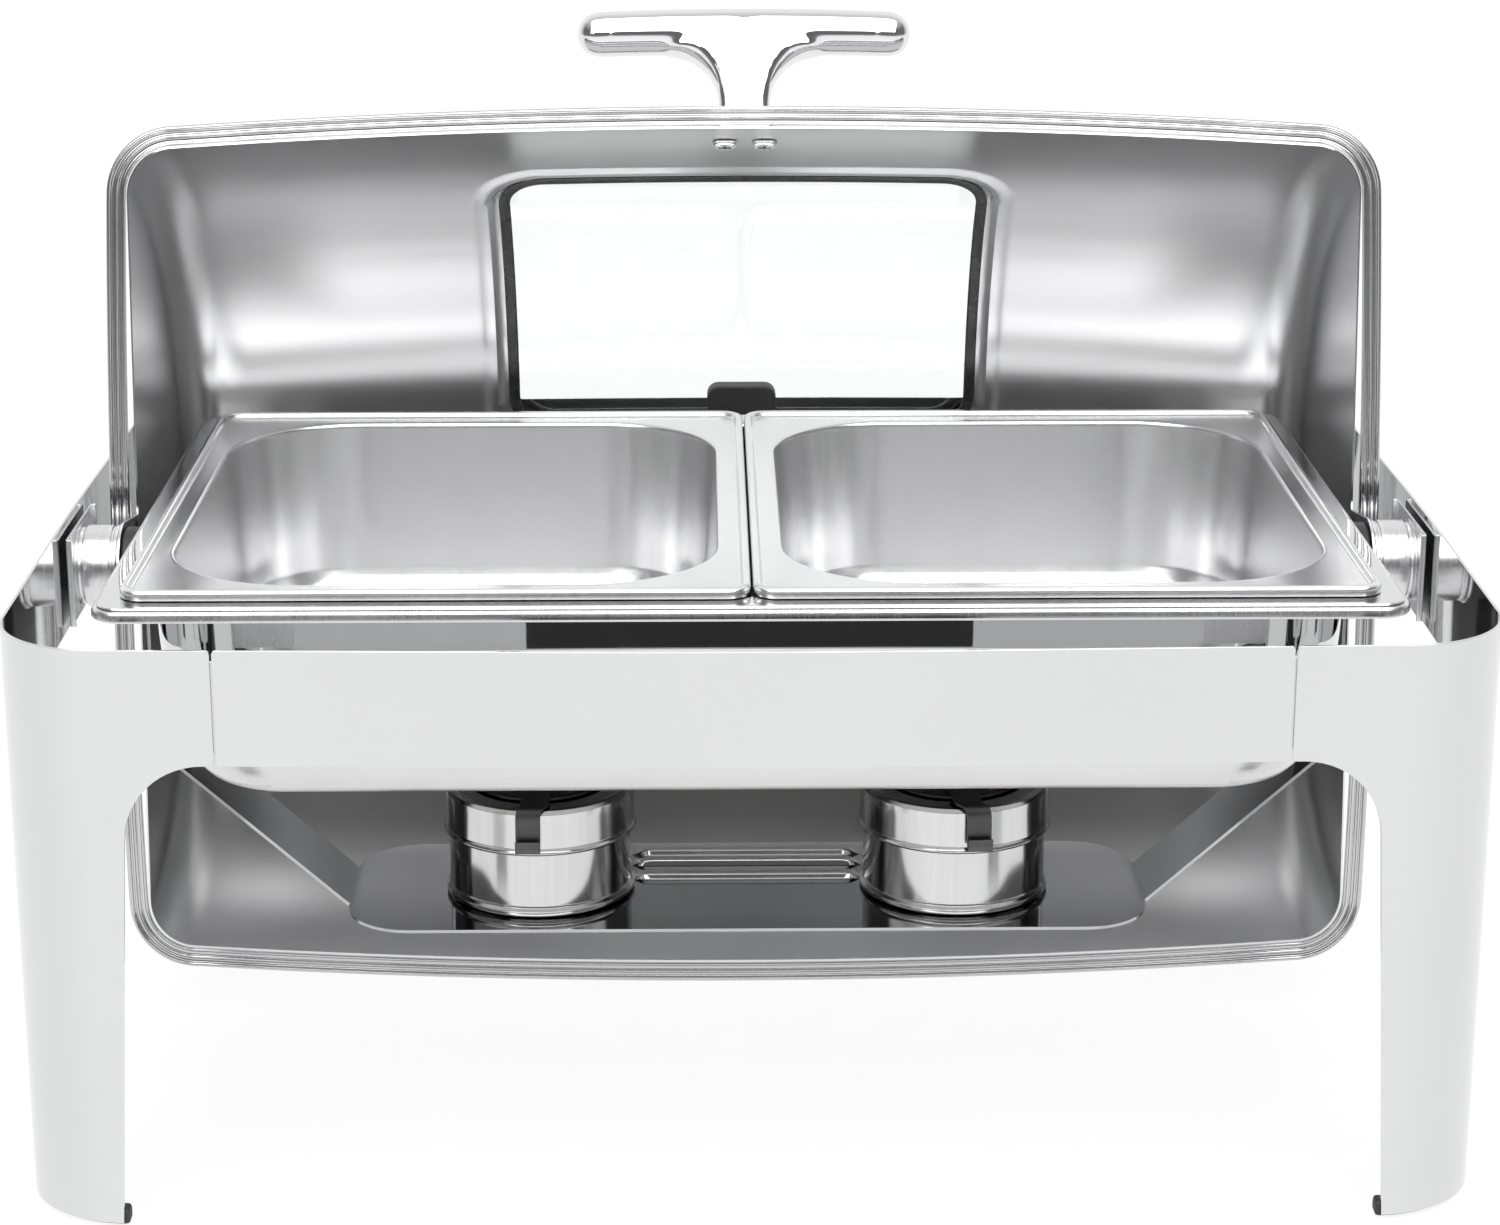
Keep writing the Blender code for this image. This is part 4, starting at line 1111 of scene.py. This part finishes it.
def dish(name, section, thickness, body, looks, node, cx=0.0):
    """A pressed pan from its outer edge in to its bottom, as one sheet."""
    loops = [rounded(hx, hy, r, RIM_Z + z, cx, steps=20) for hx, hy, r, z in through(section, 3)]
    hx, hy, r, z = section[-1]
    loops += [rounded(hx * k, hy * k, r * k, RIM_Z + z, cx, steps=20) for k in (0.8, 0.5, 0.2)]
    bm = loft(loops, caps=(False, True))
    bm.normal_update()
    bm.faces.ensure_lookup_table()
    if bm.faces[-1].normal.z < 0:
        bmesh.ops.reverse_faces(bm, faces=bm.faces)
    return piece(name, bm, body, looks, [node], thickness, sharp=60)


water_pan = dish("water_pan_pressed", WATER_SECTION, 0.9, "water_pan", [MIRROR], "water_pan")

# Its underside is duller: low on the walls, and browned on the flat bottom over the burners. The bottom's
# darker colour is partly heat tint and partly painted shade, given to faces that look down
for look in (WARMED, HEAT_TINT_AND_SHADE):
    water_pan.data.materials.append(look)
for face in water_pan.data.polygons:
    depth = RIM_Z - face.center.z / MM
    if face.normal.z < HEAT_TINT_AND_SHADE_FACING and depth > HEAT_TINT_AND_SHADE_DEPTH:
        face.material_index = 2
    elif face.normal.z < 0 and depth > WARMED_DEPTH:
        face.material_index = 1
for side, sign in SIDES:
    body = "food_pan_" + side
    dish(body + "_pressed", PAN_SECTION, 0.8, body, [PAN], body, sign * PAN_X)


# The burners ------------

CUP = [
    (0.0, 0.3), (38.0, 0.3), (42.6, 0.3), (44.8, 1.6), (44.9, 3.6), (43.4, 5.0), (43.1, 6.0),
    (43.1, 30.0), (43.1, 51.4), (41.9, 51.4), (41.9, 3.6), (40.6, 2.0), (0.0, 1.7),
]
CAP = [
    (43.5, 31.9), (45.2, 31.7), (46.0, 32.9), (45.4, 34.2), (44.8, 35.0), (44.8, 47.0), (44.8, 51.6),
    (43.6, 53.4), (41.8, 53.8), (40.2, 53.2), (33.4, 53.4), (32.0, 52.6), (26.4, 52.6), (26.0, 51.6),
    (43.4, 51.6),
]
DISC = [
    (0.0, 53.4), (30.4, 53.4), (31.0, 54.0), (30.6, 54.8), (27.0, 54.9), (26.0, 54.5), (8.0, 54.5),
    (6.5, 55.0), (0.0, 55.0),
]
DAMPER_RIVET = [(0.0, 55.0), (2.8, 55.0), (2.8, 55.9), (1.9, 56.7), (0.0, 56.9)]
STRIP = [
    (9.0, 55.9), (-10.0, 55.9), (-34.0, 55.9), (-43.5, 55.9), (-47.4, 54.8), (-48.8, 51.6),
    (-49.0, 46.0), (-49.2, 38.4), (-50.0, 36.3), (-51.7, 35.9), (-52.7, 37.2), (-52.8, 41.6),
]
STRIP_T = 1.1
STRIP_HALF = 6.5
STRIP_SET = {"left": (-0.5, -3.0), "right": (4.5, 4.5)}


def damper_strip(place, lean):
    """The bent strip that turns the damper. It leans sideways as it hangs and ends in a folded tab."""
    path = through(STRIP, 3)
    loops = []
    for i, (y, z) in enumerate(path):
        before, after = path[max(0, i - 1)], path[min(len(path) - 1, i + 1)]
        along = Vector((after[0] - before[0], after[1] - before[1])).normalized()
        across = Vector((along.y, -along.x)) * STRIP_T / 2
        half = STRIP_HALF * (1 - 0.12 * ramp(-y, 40, 50))
        shift = lean * ramp(-y, 42, 50)
        turns = ((half, 1), (-half, 1), (-half, -1), (half, -1))
        corners = [(x + shift, y + side * across.x, z + side * across.y) for x, side in turns]
        loops.append([place @ Vector(p) for p in corners])
    return loft(loops)


for side, sign in SIDES:
    swing, lean = STRIP_SET[side]
    seat = Matrix.Translation((sign * BURNER_X, 0, SHELF_Z))
    turn = seat @ Matrix.Rotation(radians(swing), 4, "Z")
    cup = turned(eased(CUP, 1.0, closed=False), seat, steps=96)
    piece(f"burner_{side}_cup", cup, "burner_" + side, [SPUN], ["burner_cup_" + side])
    cap = turned(eased(CAP, 0.6), seat, True, 96)
    piece(f"burner_{side}_cap", cap, "burner_cap_" + side, [SPUN], ["burner_cap_" + side])
    disc = turned(eased(DISC, 0.4, closed=False), turn, steps=72)
    body = "burner_damper_" + side
    piece(body + "_disc", disc, body, [SCORCHED], [body])
    piece(body + "_strip", damper_strip(turn, lean), body, [SCORCHED], ease=0.25)
    rivet = turned(DAMPER_RIVET, turn @ Matrix.Translation((10.4, 2.0, 0)), steps=32)
    piece(f"damper_{side}_rivet", rivet, body, [CHROME], ["damper_rivet_" + side])


# The studio: floor, light and camera ------------

FLOOR_HALF = 14.0
FLOOR_GLOW = 0.88
CAMERA_AT = (-0.0204, -1.5193, 0.6589)
CAMERA_PITCH = radians(-16.69)
CAMERA_YAW = radians(-0.82)
CAMERA_LENS = 81.42


def floor_material():
    made = Finish("studio_floor", Emission_Strength=FLOOR_GLOW, Emission_Color=(1.0, 1.0, 1.0, 1.0))
    cloud = made.noise(1.5, detail=3.0)
    made.set("Base Color", made.mixed(cloud, (0.07, 0.07, 0.07), (0.09, 0.09, 0.09)))
    made.set("Roughness", made.ranged(made.noise(40.0), 0.3, 0.7, 0.55, 0.7))
    return made.material


def studio_floor():
    bm = bmesh.new()
    corners = ((-1, -1), (1, -1), (1, 1), (-1, 1))
    bm.faces.new([bm.verts.new((x * FLOOR_HALF, y * FLOOR_HALF, 0)) for x, y in corners])
    floor = drawn_object("floor", bm)
    floor.data.materials.append(floor_material())


def soft_light(name, at, aim, width, height, watts):
    light = bpy.data.lights.new(name, "AREA")
    light.shape = "RECTANGLE"
    light.size, light.size_y = width, height
    light.energy = watts
    obj = added(name, light)
    obj.location = at
    obj.rotation_euler = (Vector(aim) - Vector(at)).to_track_quat("-Z", "Y").to_euler()


def surroundings():
    """A studio room: white to the rear, and otherwise grey and brightest overhead."""
    world = bpy.data.worlds.new("studio")
    bpy.context.scene.world = world
    world.use_nodes = True
    room = Nodes(world.node_tree)
    parts = room.nodes.new("ShaderNodeSeparateXYZ")
    room.fill(parts.inputs["Vector"], room.coordinates["Generated"])
    tones = room.nodes.new("ShaderNodeValToRGB")
    stops = tones.color_ramp.elements
    stops[0].color = (0.3, 0.3, 0.3, 1)
    stops[1].color = (0.7, 0.7, 0.705, 1)
    for position, tone in ((0.12, 0.16), (0.4, 0.16), (0.7, 0.6)):
        stops.new(position).color = (tone, tone, tone, 1)
    room.fill(tones.inputs["Fac"], parts.outputs["Z"])
    rearward = room.ranged(parts.outputs["Y"], 0.0, 0.5, 0.0, 1.0)
    backdrop = room.mixed(rearward, tones.outputs["Color"], (1.0, 1.0, 1.0))
    room.fill(room.nodes["Background"].inputs["Color"], backdrop)


def camera():
    data = bpy.data.cameras.new("camera")
    data.lens = CAMERA_LENS
    data.sensor_width = 36.0
    obj = added("camera", data)
    obj.location = CAMERA_AT
    obj.rotation_euler = (pi / 2 + CAMERA_PITCH, 0.0, CAMERA_YAW)
    bpy.context.scene.camera = obj


studio_floor()
surroundings()
soft_light("overhead", (0.0, -1.5, 2.3), (0.0, 0.0, 0.2), 4.0, 3.0, 124.0)
soft_light("front_left", (-2.2, -2.6, 1.9), (0.0, 0.0, 0.25), 1.6, 1.6, 8.0)
camera()
bpy.context.scene.view_settings.view_transform = "Standard"
